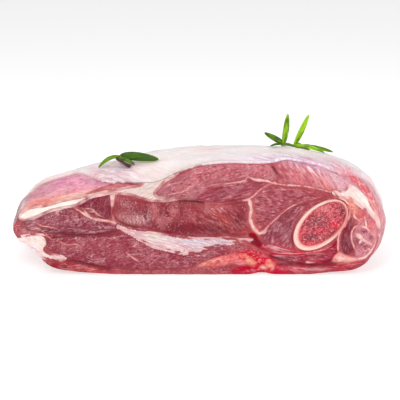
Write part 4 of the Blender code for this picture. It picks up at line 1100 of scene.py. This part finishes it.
# The lump at the lower left, which the knife left as a flap that folds round the side.
add_sheet("left_lump_fat", "lump_fat_left", (
    (-119, 23.4), (-113.8, 24.6), (-107.5, 25.6), (-99.6, 25.8), (-96.6, 23.4), (-96.0, 19),
    (-97.6, 17.4), (-98, 15.8), (-95, 13.3), (-89.8, 12.7), (-86, 11.6), (-85, 10),
    (-88.8, 8.8), (-92.4, 8.9), (-96, 10.2), (-101, 11), (-106, 11), (-112, 14), (-119, 18)),
    (242, 220, 213), (234, 190, 188), 0.45, (
        (-91, 11, 6, 2.4, -10, (238, 190, 186), 0.8), (-108, 17, 6, 5, -40, (250, 234, 230), 0.8),
        (-98, 21, 2, 4, 0, (242, 200, 190), 0.7), (-103, 15.4, 6, 1.4, -40, (226, 186, 196), 0.7),
    ), on_side=30, proud=0.8, ragged=0.3, fray=(-35, 0.25), seed=13)
# The thick corner where the cover of fat dips down between the upper muscles.
add_sheet("corner_fat_wedge", "corner_fat", (
    (-74, 49.8), (-66, 51.8), (-58, 53.8), (-50, 55.2), (-43, 56.6), (-36, 58), (-42, 61.5),
    (-30, 67), (-14, 69), (-15, 64.2), (-21, 60.8), (-25.8, 56), (-28.6, 52.4), (-25.5, 50),
    (-16, 48.8), (-21, 47.6), (-29, 47.8), (-36, 49.2), (-43, 51.6), (-50, 52.4), (-58, 52.2),
    (-66, 50.8)), (222, 200, 193), (216, 182, 178), 0.3, (
        (-58, 52.6, 8, 1.6, 10, (236, 196, 190), 0.8), (-30, 49.4, 8, 1.2, -8, (240, 204, 196), 0.7),
        (-27, 55, 1.4, 5, -30, (226, 190, 184), 0.7),
    ), on_side=9, ragged=0.1, fray=(22, 0.05), seed=14)
# The white bundle of tendon and fat that curves round the right of the bone.
add_sheet("right_edge_fat", "edge_fat_right", (
    (83.6, 53.4), (87, 53.5), (90.4, 54), (92.4, 57), (95.4, 58), (99.4, 55.6), (103.4, 51.4),
    (106.6, 46), (109.7, 39.6), (111.9, 34.6), (113.1, 28.3), (113, 24.4), (111.8, 28),
    (111, 32.4), (108.9, 36.6), (105.9, 40.2), (101.8, 43.2), (97, 46.8), (93.6, 49.6),
    (90.6, 49.8), (87, 50.8), (84, 52)), (244, 222, 214), (236, 190, 186), 0.4, (
        (87, 52.2, 4, 2, -10, (250, 216, 206), 0.8), (93, 57, 3, 3, 0, (244, 208, 208), 0.8),
        (111, 34, 2, 6, 10, (248, 206, 200), 0.8), (103, 47.6, 5, 1.6, -50, (252, 244, 234), 0.9),
        (96, 48, 3, 1.6, -45, (250, 206, 186), 0.8),
    ), on_side=2, fray=(-52, 0.3), seed=15)


# ---- Arm bone ---------------------------------------------------------------------------------
# The sawn arm bone is a tilted oval tube. Its wall is hard and pale, thicker at the lower left,
# and the saw left its face flat with soft, slightly worn edges.
BONE_CENTRE = (75.6, 32.0)
BONE_HALF = (20.5, 12.4)
BONE_TILT = 43  # degrees
BONE_WALL = 2.65  # on average
WALL_LEAN = 0.55  # how much thicker the wall is at the lower left than on average
BONE_RUN = 85.0
BONE_PROUD = 0.7
BONE_SWELL = 0.5  # how far the middle of the wall's face swells out
BONE_CELLS = (220, 34)
BONE_MEAN_HALF = 15  # about how far its side lies from its middle
# The section of the wall, drawn from the outside in: places along the profile, how far through
# the wall each lies, and how far behind the saw cut.
PROFILE_AT = (-1, -0.7, -0.62, -0.5, 0.5, 0.62, 0.7, 1)
PROFILE_IN = (0, 0, 0.08, 0.22, 0.78, 0.92, 1, 1)
PROFILE_BACK = (BONE_RUN, 3.0, 0.25, 0, 0, 0.25, 1.6, BONE_RUN)


def bone_place(turn, inset):
    """Where the bone's oval lies, brought in by this much all round."""
    long_way = (BONE_HALF[0] - inset) * np.cos(turn)
    short_way = (BONE_HALF[1] - inset) * np.sin(turn)
    x, z = turned(long_way, short_way, -BONE_TILT)
    return BONE_CENTRE[0] + x, BONE_CENTRE[1] + z


def wall_at(turn):
    return BONE_WALL * (1 - WALL_LEAN * np.cos(turn))


def face_outward():
    """Turns the faces of the piece outward, and leaves edit mode."""
    edit_all()
    bpy.ops.mesh.normals_make_consistent(inside=False)
    bpy.ops.object.mode_set(mode="OBJECT")


bone = new_grid("arm_bone", *BONE_CELLS)
u, v = points_of(bone)[:, :2].T
turn = (u + 1) * math.pi
spot = np.stack([20 * np.cos(turn), 20 * np.sin(turn), v * 3], -1)
wall = wall_at(turn) + 0.25 * mottle(spot, 5, 21)
inset = np.interp(v, PROFILE_AT, PROFILE_IN) * wall
x, z = bone_place(turn, inset)
worn = 0.10 * mottle(np.stack([x, v, z], -1), 1.6, 22)
y = CUT_Y - BONE_PROUD + np.interp(v, PROFILE_AT, PROFILE_BACK) + worn
y -= BONE_SWELL * np.exp(-(((v + 0.1) / 0.35) ** 2))
set_points(bone, np.stack([x, y, z], -1) * MM)
edit_all()
bpy.ops.mesh.remove_doubles(threshold=0.00001)
bpy.ops.mesh.select_mode(type="VERT")
bpy.ops.mesh.select_all(action="DESELECT")
bpy.ops.mesh.select_non_manifold()
bpy.ops.mesh.bridge_edge_loops()
face_outward()
finish_mesh(bone)
in_wall = points_of(bone) / MM
across_bone = in_wall[:, 0] - BONE_CENTRE[0]
up_bone = in_wall[:, 2] - BONE_CENTRE[1]
long_way, short_way = turned(across_bone, up_bone, BONE_TILT)
from_middle = np.hypot(long_way / BONE_HALF[0], short_way / BONE_HALF[1])
keep_values(bone, "from_outside", (1 - from_middle) * BONE_MEAN_HALF)
keep_values(bone, "pinker", ease(across_bone, 5, 15))

bone_finish, tree, shader = new_finish(
    "sawn_bone", Subsurface_Weight=0.3, Subsurface_Radius=(1.0, 0.5, 0.4),
    Subsurface_Scale=0.003, Coat_Roughness=0.25, Coat_IOR=1.38,
)
place = place_on(tree)
inward, pinker = numbers(tree, "from_outside", "pinker")
rough = place.noise(0.9, 3, 0.6)
pores = place.noise(2.2, 2, 0.6)
ivory = plain_colour(tree, 248, 214, 202)
edge = inward + (rough - 0.5) * 1.6 + pinker * 1.6
shade = ivory.mix(srgb(244, 166, 158), edge.step(1.2, 2.6) * 0.85)
shade = shade.mix(srgb(218, 92, 100), edge.step(2.2, 3.6) * 0.85)
shade = shade.mix(srgb(236, 150, 148), edge.step(0.7, -0.3) * 0.8)
shade = shade.mix(srgb(222, 130, 128), pinker * 0.45)
shade = shade.mix(srgb(214, 120, 112), pores.step(0.60, 0.72) * 0.4)
plug(
    tree, shader, Base_Color=shade, Roughness=0.42 + pores * 0.2,
    Coat_Weight=rough.step(0.5, 0.62) * 0.3, Normal=bumped(rough + pores * 0.6, 0.6, 0.4),
)
bone.data.materials.append(bone_finish)
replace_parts(bone, "bone")
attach(bone, "root")
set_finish(bone, "bone")


# ---- Marrow -----------------------------------------------------------------------------------
# Red marrow in a lace of spongy bone fills the tube. The saw left its face crumbly, with dark
# pits, bright red beads and pale grit.
MARROW_CELLS = 150
MARROW_BACK = 4
MARROW_INTO_WALL = 0.35  # how far the marrow reaches into the bone's wall
MARROW_FACE = 0.15  # how far behind the cut the rim of its face lies
MARROW_DOME = 0.5  # how far the middle of its face stands out past that
MARROW_SIDE = 1.2  # how far behind the cut its side starts
MARROW_SHORT = 3  # how much shorter than the bone its side is
# Where the marrow is darker or brighter, laid out as the colours of the cut are.
MARROW_DABS = (
    (73.4, 35, 6, 4, 0, (122, 32, 58), 0.95), (89.6, 40.8, 2.6, 4.5, 0, (112, 20, 44), 0.95),
    (69.3, 23.7, 6, 2.6, 0, (112, 18, 42), 0.95), (82.3, 26.4, 2.6, 2.6, 0, (130, 20, 46), 0.85),
    (84.4, 32.8, 3.4, 2.6, 0, (228, 16, 58), 0.9), (75.8, 28, 3, 2, 0, (224, 22, 62), 0.9),
    (62.5, 25.3, 2, 5, 0, (220, 48, 70), 0.8), (77, 42.5, 6, 3, 0, (226, 126, 128), 0.8),
    (81.8, 38.6, 4, 3, 0, (216, 92, 104), 0.7), (70.3, 19.8, 6, 1.8, 0, (228, 56, 72), 0.8),
    (76.5, 24, 3, 2, 0, (188, 92, 104), 0.6), (68, 30, 3, 3, 0, (190, 60, 84), 0.5),
)

marrow = new_grid("red_marrow", MARROW_CELLS, MARROW_CELLS)
draw_back(MARROW_BACK)
bpy.ops.mesh.edge_face_add()
bpy.ops.object.mode_set(mode="OBJECT")
u, w, ring = points_of(marrow).T
across, up = as_disc(u, w)
turn, radius = np.arctan2(up, across), np.hypot(across, up)
rim_x, rim_z = bone_place(turn, wall_at(turn) - MARROW_INTO_WALL)
x = BONE_CENTRE[0] + (rim_x - BONE_CENTRE[0]) * radius
z = BONE_CENTRE[1] + (rim_z - BONE_CENTRE[1]) * radius
spot = np.stack([x, np.zeros_like(x), z], -1)
crumbs = 0.55 * mottle(spot, 2.6, 31) + 0.5 * mottle(spot, 1.3, 32) + 0.3 * mottle(spot, 0.7, 33)
y = CUT_Y + MARROW_FACE - MARROW_DOME * (1 - radius**2) - crumbs
side_y = CUT_Y + MARROW_SIDE + (ring - 1) * (BONE_RUN - MARROW_SHORT) / (MARROW_BACK - 1)
y = np.where(ring > 0, side_y, y)
set_points(marrow, np.stack([x, y, z], -1) * MM)
face_outward()
finish_mesh(marrow)
keep_values(marrow, "crumbs", crumbs)
blood = np.tile(srgb(188, 32, 62), (len(x), 1))
keep_values(marrow, "blood", dabbed(blood, x, z, MARROW_DABS))
keep_values(marrow, "to_wall", radius)

marrow_finish, tree, shader = new_finish(
    "crumbly_marrow", Subsurface_Weight=0.2, Subsurface_Radius=(1.0, 0.3, 0.25),
    Subsurface_Scale=0.0025, Coat_Roughness=0.15, Coat_IOR=1.38,
)
place = place_on(tree)
crumb, to_wall = numbers(tree, "crumbs", "to_wall")
patches = place.noise(0.20, 3, 0.55)
grit = place.cells(0.75)
beads = place.noise(1.25, 3, 0.6)
red = attribute(tree, "blood", "Color")
specks = place.noise(0.5, 3, 0.6)
dark_specks = specks.step(0.50, 0.36) * (0.25 + patches.step(0.58, 0.44) * 0.6)
shade = red.mix(srgb(126, 26, 50), dark_specks)
shade = shade.mix(red.mix((1.0, 0.30, 0.33), 0.42), specks.step(0.52, 0.64) * 0.95)
shade = shade.mix(srgb(122, 16, 40), crumb.step(-0.15, -0.8) * 0.6)
shade = shade.mix(srgb(250, 178, 172), beads.step(0.56, 0.66) * 0.8)
shade = shade.mix(srgb(228, 10, 50), grit.step(0.36, 0.16) * patches.step(0.45, 0.6) * 0.8)
shade = shade.mix(srgb(232, 140, 130), to_wall.step(0.92, 1.0) * 0.5)
plug(
    tree, shader, Base_Color=shade, Roughness=0.5 - beads * 0.2,
    Coat_Weight=beads.step(0.4, 0.6) * 0.5, Normal=bumped(beads + grit * 0.5, 0.9, 0.5),
)
marrow.data.materials.append(marrow_finish)
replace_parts(marrow, "marrow")
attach(marrow, "root")
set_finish(marrow, "marrow")


# ---- Fat cover --------------------------------------------------------------------------------
# A sheet of fat under a silvery skin covers the top of the joint. It is up to about three
# millimetres thick, and thins out along its border. Skin and membrane keep it wrinkled.
FAT_COVER = 2.8  # how far its top stands off the lean
COVER_AT_CUT = 0.45  # the share of that height it has at the cut
COVER_SHEET = 1.6  # how deep the sheet itself goes
COVER_SPREAD = (330, 120)  # about how wide and how deep it lies over the joint
COVER_BORDER = 15  # how far in from its border it comes to its full height
BORDER_DIP = 0.5  # how far that border dips into the lean
FRONT_HELD = 30  # where it reaches the cut, it counts as this far in from its border
COVER_ANGLES = (-12, 8, 24, 36, 45, 52, 126, 131, 136, 142, 150, 160, 170, 180, 190)
COVER_STARTS = (
    0.32, 0.27, 0.22, 0.14, 0.05, 0.0, 0.0, 0.05, 0.17, 0.27, 0.31, 0.33, 0.38, 0.48, 0.64
)
COVER_END = 0.965
COVER_CELLS = (330, 130)
# Where the cover lets pink or lilac through, laid out as the colours of the side are, and its broad
# clouds of colour. The greyish band along its lip at the cut is painted shade.
COVER_DABS = (
    (112, 16, 12, 12, 0, (240, 216, 206), 0.8), (119, 22, 4, 9, 0, (196, 152, 176), 0.8),
    (124, 10, 4, 8, 0, (214, 160, 172), 0.7), (98, 4, 12, 3, 0, (222, 208, 200), 0.7),
    # In the next row, the greyish band at 86 degrees along the lip is painted shade.
    (116, 5, 14, 6, 0, (232, 212, 204), 0.8), (86, 1.2, 24, 1.8, 0, (214, 186, 184), 0.9),
    (108, 0.6, 16, 1.2, 0, (206, 192, 180), 0.8), (66, 4, 14, 7, 0, (238, 214, 236), 0.8),
    (54, 6, 9, 10, 0, (240, 206, 230), 0.9), (44, 14, 9, 10, 0, (240, 206, 216), 0.8),
    (30, 22, 12, 9, 0, (244, 210, 214), 0.8), (14, 26, 12, 9, 0, (242, 200, 208), 0.8),
    (0, 34, 12, 12, 0, (240, 184, 194), 0.8), (122, 12, 7, 12, 0, (226, 196, 206), 0.7),
    (128, 30, 8, 16, 0, (232, 206, 214), 0.7), (132, 18, 4, 12, 0, (230, 180, 186), 0.7),
    (112, 6, 10, 4, 0, (236, 214, 214), 0.6), (86, 30, 5, 4, 0, (244, 196, 198), 0.7),
    (100, 12, 14, 5, 0, (240, 224, 226), 0.5), (74, 16, 10, 6, 0, (236, 214, 226), 0.6),
    (150, 44, 16, 9, 0, (242, 214, 220), 0.7), (172, 50, 12, 12, 0, (232, 186, 186), 0.7),
    (186, 80, 10, 20, 0, (226, 172, 174), 0.7), (50, 24, 7, 7, 0, (230, 190, 202), 0.8),
    (46, 12, 7, 6, 0, (232, 160, 174), 0.9), (42, 11, 4, 4, 0, (238, 122, 128), 0.7),
    (38, 18, 6, 5, 0, (236, 96, 114), 0.85), (36, 25, 6, 4, 0, (216, 200, 208), 0.8),
    (26, 28, 8, 5, 0, (246, 232, 236), 0.9), (13, 34, 10, 6, 0, (246, 216, 224), 0.9),
    (0, 36, 8, 8, 0, (238, 194, 204), 0.8), (63, 5, 5, 6, 0, (220, 210, 232), 0.7),
    (60, 2, 9, 1.2, 0, (216, 170, 196), 0.6), (72, 5, 6, 2.5, 0, (226, 208, 214), 0.6),
)
COVER_CLOUDS = (
    (34, 50, 0.0, (232, 180, 184), 0.55), (26, 51, 0.05, (222, 204, 214), 0.6),
    (20, 52, 0.1, (246, 234, 218), 0.6), (9, 53, 0.1, (234, 190, 194), 0.4),
)
# Where fine lines show through it, as ovals, and where it is mottled with blood.
VEINED = ((124, 12, 9, 16, 0, 0.7), (58, 6, 14, 10, 0, 0.9))
MOTTLED = ((40, 16, 12, 11, 0, 1.0),)

cover = new_grid("fat_and_silverskin", *COVER_CELLS)
u, v = points_of(cover)[:, :2].T
across, along = (u + 1) / 2, (v + 1) / 2
angle = COVER_ANGLES[-1] + (COVER_ANGLES[0] - COVER_ANGLES[-1]) * across
turn = np.radians(angle)
wavy = mottle(np.stack([angle / 3, np.zeros_like(angle), np.zeros_like(angle)], -1), 1.6, 41)
start = np.maximum(through(COVER_ANGLES, COVER_STARTS, angle), 0)
start = start + 0.012 * wavy * ease(start, 0.01, 0.08)
run = start + (COVER_END - start) * along**1.25
base_points = side(turn, run)
out = outward(turn, run)
from_cut = base_points[:, 1] - CUT_Y
wide, deep = COVER_SPREAD
border = np.minimum.reduce([across * wide, (1 - across) * wide, (1 - along) * deep])
bare_front = ease(start, 0.01, 0.06)
border = np.minimum(border, along * deep + FRONT_HELD * (1 - bare_front))
ragged = 1.4 * mottle(base_points, 5, 42) + 0.6 * mottle(base_points, 1.8, 43)
ragged += 5 * mottle(base_points, 15, 48)
feather = ease(border + ragged * ease(border, 0.2, 8), 0.2, COVER_BORDER)
full = FAT_COVER * (COVER_AT_CUT + (1 - COVER_AT_CUT) * ease(from_cut, 0, 16))
thick = full * feather - BORDER_DIP * (1 - feather)
lumps = side_lumps(base_points)
creased = base_points @ np.array([[0.8, 0.5, 0.2], [-0.5, 0.8, 0], [0.1, 0, 1]])
wrinkles = mottle(creased / (4, 1, 1), 2.6, 44) + 0.6 * mottle(creased / (3, 1, 1), 1.2, 45)
lumps += (0.16 * wrinkles + 0.3 * mottle(base_points, 7, 46)) * feather
lumps *= ease(from_cut, -1, 6)
lifted = base_points + out * (thick + lumps)[:, None]
lifted[:, 1] = np.maximum(lifted[:, 1], CUT_Y + 0.1 + 0.25 * mottle(base_points, 3, 47))
set_points(cover, lifted * MM)
finish_mesh(cover)
pinkness = np.tile(srgb(242, 230, 228), (len(across), 1))
pinkness = clouded(pinkness, base_points, COVER_CLOUDS, 0.8, ease(from_cut, 22, 60))
keep_values(cover, "tint", dabbed(pinkness, angle, from_cut, COVER_DABS))
keep_values(cover, "held", feather * 6)
keep_values(cover, "veined", sum_of_ovals(angle, from_cut, VEINED))
keep_values(cover, "mottled", sum_of_ovals(angle, from_cut, MOTTLED))
keep_values(cover, "grain", creased / (4, 1, 1))
if normals_of(cover)[:, 2].sum() < 0:
    cover.data.flip_normals()
thicken(cover, COVER_SHEET)
under = points_of(cover)
under[:, 1] = np.maximum(under[:, 1], CUT_Y * MM)
set_points(cover, under)

cover_finish, tree, shader = new_finish(
    "fat_under_silverskin", Subsurface_Weight=0.35, Subsurface_Radius=(1.0, 0.6, 0.5),
    Subsurface_Scale=0.004, Coat_Roughness=0.2, Coat_IOR=1.38,
)
place = place_on(tree)
wrinkled = attribute(tree, "grain")
veined, mottled, held = numbers(tree, "veined", "mottled", "held")
base = attribute(tree, "tint", "Color")
clouds = place.noise(0.09, 4, 0.6)
threads = wrinkled.noise(0.8, 5, 0.65, 0.4)
veins = wrinkled.stretched(0.5, 1, 1).noise(0.22, 3, 0.5, 0.8)
beads = place.noise(1.2, 2, 0.6)
shade = base.mix(base.mix((0.86, 0.52, 0.56), 0.35), clouds.step(0.50, 0.70) * 0.7)
shade = shade.mix(base.mix((0.70, 0.55, 0.56), 0.55), threads.step(0.52, 0.70) * 0.6)
shade = shade.mix(srgb(254, 248, 244), threads.step(0.46, 0.28) * 0.6)
shade = shade.mix(srgb(222, 150, 156), veins.step(0.03, 0.0) * 0.3)
knots = place.stretched(1, 0.35, 1).noise(0.6, 3, 0.6)
shade = shade.mix(srgb(226, 74, 92), knots.step(0.54, 0.64) * mottled * 0.8)
shade = shade.mix(srgb(246, 224, 230), knots.step(0.46, 0.36) * mottled * 0.7)
lines = wrinkled.stretched(0.5, 1, 1).noise(0.33, 4, 0.66, 0.6)
shade = shade.mix(srgb(255, 248, 250), lines.step(0.52, 0.60) * (veined * 0.85 + 0.14))
shade = shade.mix(srgb(194, 106, 138), lines.step(0.49, 0.41) * (veined * 0.8 + 0.06))
shade = shade.mix(srgb(178, 142, 166), threads.step(0.46, 0.60) * veined * 0.5)
shade = shade.mix(srgb(226, 150, 160), knots.step(0.52, 0.66) * veined * 0.6)
shade = shade.mix(srgb(224, 128, 136), (held + beads * 1.5).step(4.2, 0.9) * 0.8)
height = threads * 0.9 + beads * 0.4
plug(
    tree, shader, Base_Color=shade, Roughness=0.5 - beads.step(0.4, 0.6) * 0.12,
    Coat_Weight=beads.step(0.45, 0.65) * 0.35, Normal=bumped(height, 0.6, 0.5),
)
cover.data.materials.append(cover_finish)
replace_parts(cover, "fat_cover")
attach(cover, "root")
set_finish(cover, "fat")


# ---- Rosemary ---------------------------------------------------------------------------------
# Fresh rosemary leaves are narrow and leathery, dark green on top with a groove down the middle,
# and pale and felted below, where their edges roll under. They sit on a short stalk.
LEAF_LIFT = 0.8  # how far the leaves stay off the fat
LEAF_GROOVE = 0.32
LEAF_SWAY = 0.05  # how far a leaf bends sideways, as a share of its width
LEAF_CELLS = (30, 28)
STALK_CELLS = (24, 12)
STALK_LIFT = 1.25  # how far the middle of a green stalk stays off the fat
STALK_THICK = 0.75  # from its middle to its side, while green
WOODY_MORE = 0.35  # how much more of both a woody stalk has
# Each stalk: where it starts and ends, as (x, y, height above the fat).
PAIR_STALK = ((-53.5, -45, 4.6), (-44, -55.5, 1.0))
TIP_STALK = ((52, -34, 1.3), (72, -14, 1.3))
# Each leaf: its foot and its tip as (x, y, height above the fat), its width, how far its middle
# bows up, the angle its upper side is turned to, from 0 facing -Y to 90 facing up, and how young
# and light it is.
PAIR_LEAVES = (
    ((-51, -43, 5.4), (-26, -54, 1.0), 5.8, 2.6, 30, 0.12),
    ((-51, -44, 5.2), (-65, -46, 0.8), 3.2, 3.0, 60, 0.35),
    ((-53, -45, 4.8), (-41.5, -52, 0.8), 3.0, 1.6, 60, 0.25),
)
TIP_LEAVES = (
    ((54, -32, 1.3), (56.5, -31, 21.5), 3.9, 0.6, 0, 0.8),
    ((61, -25, 1.3), (70.5, -28, 23.5), 3.6, 0.8, 20, 1.0),
    ((55, -31, 1.3), (41.5, -33, 9.0), 3.8, 0.8, 30, 0.3),
    ((62, -24, 1.3), (86.5, -29, 2.5), 3.4, 2.0, 55, 0.8),
    ((60, -26, 1.3), (80.5, -36, 1.2), 3.2, 2.2, 60, 1.0),
    ((54, -32, 1.3), (45, -39, 1.0), 2.6, 1.2, 80, 0.1),
    ((64, -22, 1.3), (76, -9, 3.0), 3.2, 2.0, 90, 0.5),
    ((67, -19, 1.3), (62, -4, 4.0), 3.2, 2.2, 90, 0.5),
)
fat_tree = BVHTree.FromObject(cover, bpy.context.evaluated_depsgraph_get())


def on_fat(x, y, height):
    """A point this high above the fat, in millimetres."""
    hit = fat_tree.ray_cast(Vector((x * MM, y * MM, 1)), Vector((0, 0, -1)))[0]
    return np.array(hit) / MM + (0, 0, height)


def lift_clear(points, least):
    """The points, lifted where they would come nearer the fat than this."""
    lowest = np.array([on_fat(x, y, least)[2] for x, y in points[:, :2]])
    points[:, 2] = np.maximum(points[:, 2], lowest)
    return points


def seal_tube(piece):
    """Merges the tube's seam, closes both ends and turns all its faces outward."""
    edit_all()
    bpy.ops.mesh.remove_doubles(threshold=0.00003)
    bpy.ops.mesh.select_all(action="DESELECT")
    bpy.ops.mesh.select_non_manifold()
    bpy.ops.mesh.edge_face_add()
    face_outward()
    if sum(face.center.dot(face.normal) * face.area for face in piece.data.polygons) < 0:
        piece.data.flip_normals()
    return piece


def tube_grid(name, cells):
    """A grid to roll into a tube, how far along it each point lies and the angle round it."""
    piece = new_grid(name, *cells)
    u, v = points_of(piece)[:, :2].T
    return piece, (u + 1) / 2, (v + 1) * math.pi


def leaf_mesh(name, foot, tip, width, bow, turned, youth, seed):
    """One leaf. Its section is a closed loop: the domed upper side and the hollow under side."""
    piece, share, round_it = tube_grid(name, LEAF_CELLS)
    foot, tip = on_fat(*foot), on_fat(*tip)
    axis = tip - foot
    facing = math.radians(turned)
    facing = np.array([0, -math.cos(facing), math.sin(facing)])
    sideways = np.cross(axis, facing)
    sideways /= np.linalg.norm(sideways)
    out = np.cross(sideways, axis) / np.linalg.norm(axis)
    half = width / 2 * np.maximum(np.sin(math.pi * share**0.85), 0) ** 0.5
    half = np.maximum(half, 0.5 * ease(1 - share, 0.0, 0.1)) + 0.02
    over, height = half * np.cos(round_it), np.sin(round_it)
    edge = np.abs(np.cos(round_it))
    groove = LEAF_GROOVE * np.exp(-((over / (0.16 * half + 0.05)) ** 2))
    curl = 0.30 * edge**2 * half
    top = (0.42 - groove) * half**0.5 - curl
    low = 0.4 * groove - 0.12 * half**0.5 - 0.52 * edge**2 * half
    near_edge = np.abs(height) ** 0.4
    rise = np.where(height >= 0, top, low) * near_edge - curl * (1 - near_edge)
    arch = bow * 4 * share * (1 - share)
    sway = LEAF_SWAY * width * np.sin(3.1 * share + seed)
    points = foot + axis * share[:, None] + sideways * (over + sway)[:, None]
    points = points + out * (rise + arch)[:, None]
    set_points(piece, lift_clear(points, LEAF_LIFT) * MM)
    keep_values(piece, "upper", ease(height, -0.15, 0.15))
    keep_values(piece, "youth", np.full_like(over, youth))
    keep_values(piece, "woody", np.zeros_like(over))
    keep_values(piece, "over", np.stack([share * 10, over, np.full_like(over, seed)], -1))
    return seal_tube(piece)


def stalk_mesh(name, start, end, woody):
    """The short square stalk, with its torn end."""
    piece, share, round_it = tube_grid(name, STALK_CELLS)
    start, end = on_fat(*start), on_fat(*end)
    spine = lift_clear(start + (end - start) * share[:, None], STALK_LIFT + WOODY_MORE * woody)
    axis = (end - start) / np.linalg.norm(end - start)
    sideways = np.cross(axis, (0, 0, 1))
    up = np.cross(sideways, axis)
    thick = STALK_THICK + WOODY_MORE * woody
    thick = thick + 0.1 * np.sin(9 * share) + 0.08 * np.cos(4 * round_it)
    thick = thick * (0.2 + 0.8 * ease(np.minimum(share, 1 - share), -0.01, 0.05))
    points = spine + sideways * (thick * np.cos(round_it))[:, None]
    points = points + up * (thick * np.sin(round_it))[:, None]
    set_points(piece, points * MM)
    keep_values(piece, "upper", np.full_like(share, 0.5))
    keep_values(piece, "youth", np.full_like(share, 0.5))
    keep_values(piece, "woody", np.full_like(share, woody))
    keep_values(piece, "over", np.stack([share * 10, round_it, np.zeros_like(share)], -1))
    return seal_tube(piece)


rosemary_finish, tree, shader = new_finish(
    "rosemary_leaf", Subsurface_Weight=0.15, Subsurface_Radius=(0.4, 1.0, 0.2),
    Subsurface_Scale=0.001, Specular_IOR_Level=0.25,
)
upper, youth, woody = numbers(tree, "upper", "youth", "woody")
over = attribute(tree, "over")
mottled = over.stretched(0.6, 1, 1).noise(0.5, 2, 0.5)
stripes = over.stretched(0.12, 1, 1).noise(2.2, 2, 0.5)
dark = plain_colour(tree, 34, 72, 0)
shade = dark.mix(srgb(166, 216, 30), youth * (0.25 + mottled.step(0.36, 0.62) * 0.75))
shade = shade.mix(dark, stripes.step(0.52, 0.72) * 0.3)
shade = shade.mix(srgb(150, 178, 84), upper.step(0.6, 0.3))
shade = shade.mix(srgb(74, 44, 30), woody)
plug(
    tree, shader, Base_Color=shade, Roughness=0.3 + mottled * 0.12,
    Normal=bumped(stripes, 0.5, 0.25),
)
for name, node, stalk, how_woody, leaves in (
    ("rosemary_leaf_pair", "rosemary_pair", PAIR_STALK, 1.0, PAIR_LEAVES),
    ("rosemary_sprig_tip", "rosemary_tip", TIP_STALK, 0.3, TIP_LEAVES),
):
    parts = [leaf_mesh(f"{name}_{n}", *leaf, n) for n, leaf in enumerate(leaves)]
    sprig = stalk_mesh(name, *stalk, how_woody)
    pick(*parts, sprig)
    bpy.ops.object.join()
    finish_mesh(sprig)
    sprig.data.materials.clear()
    sprig.data.materials.append(rosemary_finish)
    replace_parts(sprig, node)
    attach(sprig, "root")
    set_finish(sprig, "rosemary")


# ---- Floor, light and camera ------------------------------------------------------------------
# A plain pale floor, soft light from above and in front, and the photograph's low viewpoint.
deselect()
bpy.ops.mesh.primitive_plane_add(size=6, location=(0, 0, -0.0002))
floor = bpy.context.object
floor.name = "floor"
floor_finish = new_finish(
    "pale_floor", Roughness=0.7, Base_Color=(0.5, 0.5, 0.5, 1),
    Emission_Color=(1, 1, 1, 1), Emission_Strength=0.62,
)[0]
floor.data.materials.append(floor_finish)

world = bpy.data.worlds.new("studio")
world.use_nodes = True
world.node_tree.nodes["Background"].inputs["Color"].default_value = (1, 1, 1, 1)
world.node_tree.nodes["Background"].inputs["Strength"].default_value = 0.42
bpy.context.scene.world = world


def soft_light(name, place, target, size, power):
    """A square soft lamp, turned to face its target."""
    deselect()
    bpy.ops.object.light_add(type="AREA", location=place)
    light = bpy.context.object
    light.name = name
    light.data.size = size
    light.data.energy = power
    away = Vector(place) - Vector(target)
    light.rotation_euler = away.to_track_quat("Z", "Y").to_euler()


soft_light("key_light", (-0.25, -1.0, 0.8), (0, 0, 0.04), 0.35, 6)
soft_light("right_light", (0.95, -0.4, 0.65), (0.05, 0, 0.04), 0.6, 4.2)
soft_light("left_light", (-0.9, -0.1, 0.75), (-0.05, 0, 0.04), 0.6, 2.6)
soft_light("top_light", (0.1, 0.2, 1.1), (0, 0, 0.04), 0.8, 3)

ELEVATION = math.radians(13)
DISTANCE = 1.0  # in metres
AIM_HEIGHT = 48.3066  # of the point that the camera looks at, in millimetres
target = Vector((0, CUT_Y * MM, AIM_HEIGHT * MM))
reach = Vector((0, -math.cos(ELEVATION), math.sin(ELEVATION))) * DISTANCE
deselect()
bpy.ops.object.camera_add(location=target + reach)
camera = bpy.context.object
camera.name = "camera"
camera.rotation_euler = reach.to_track_quat("Z", "Y").to_euler()
camera.data.lens = 144
camera.data.sensor_width = 36
bpy.context.scene.camera = camera
bpy.context.scene.view_settings.view_transform = "Standard"
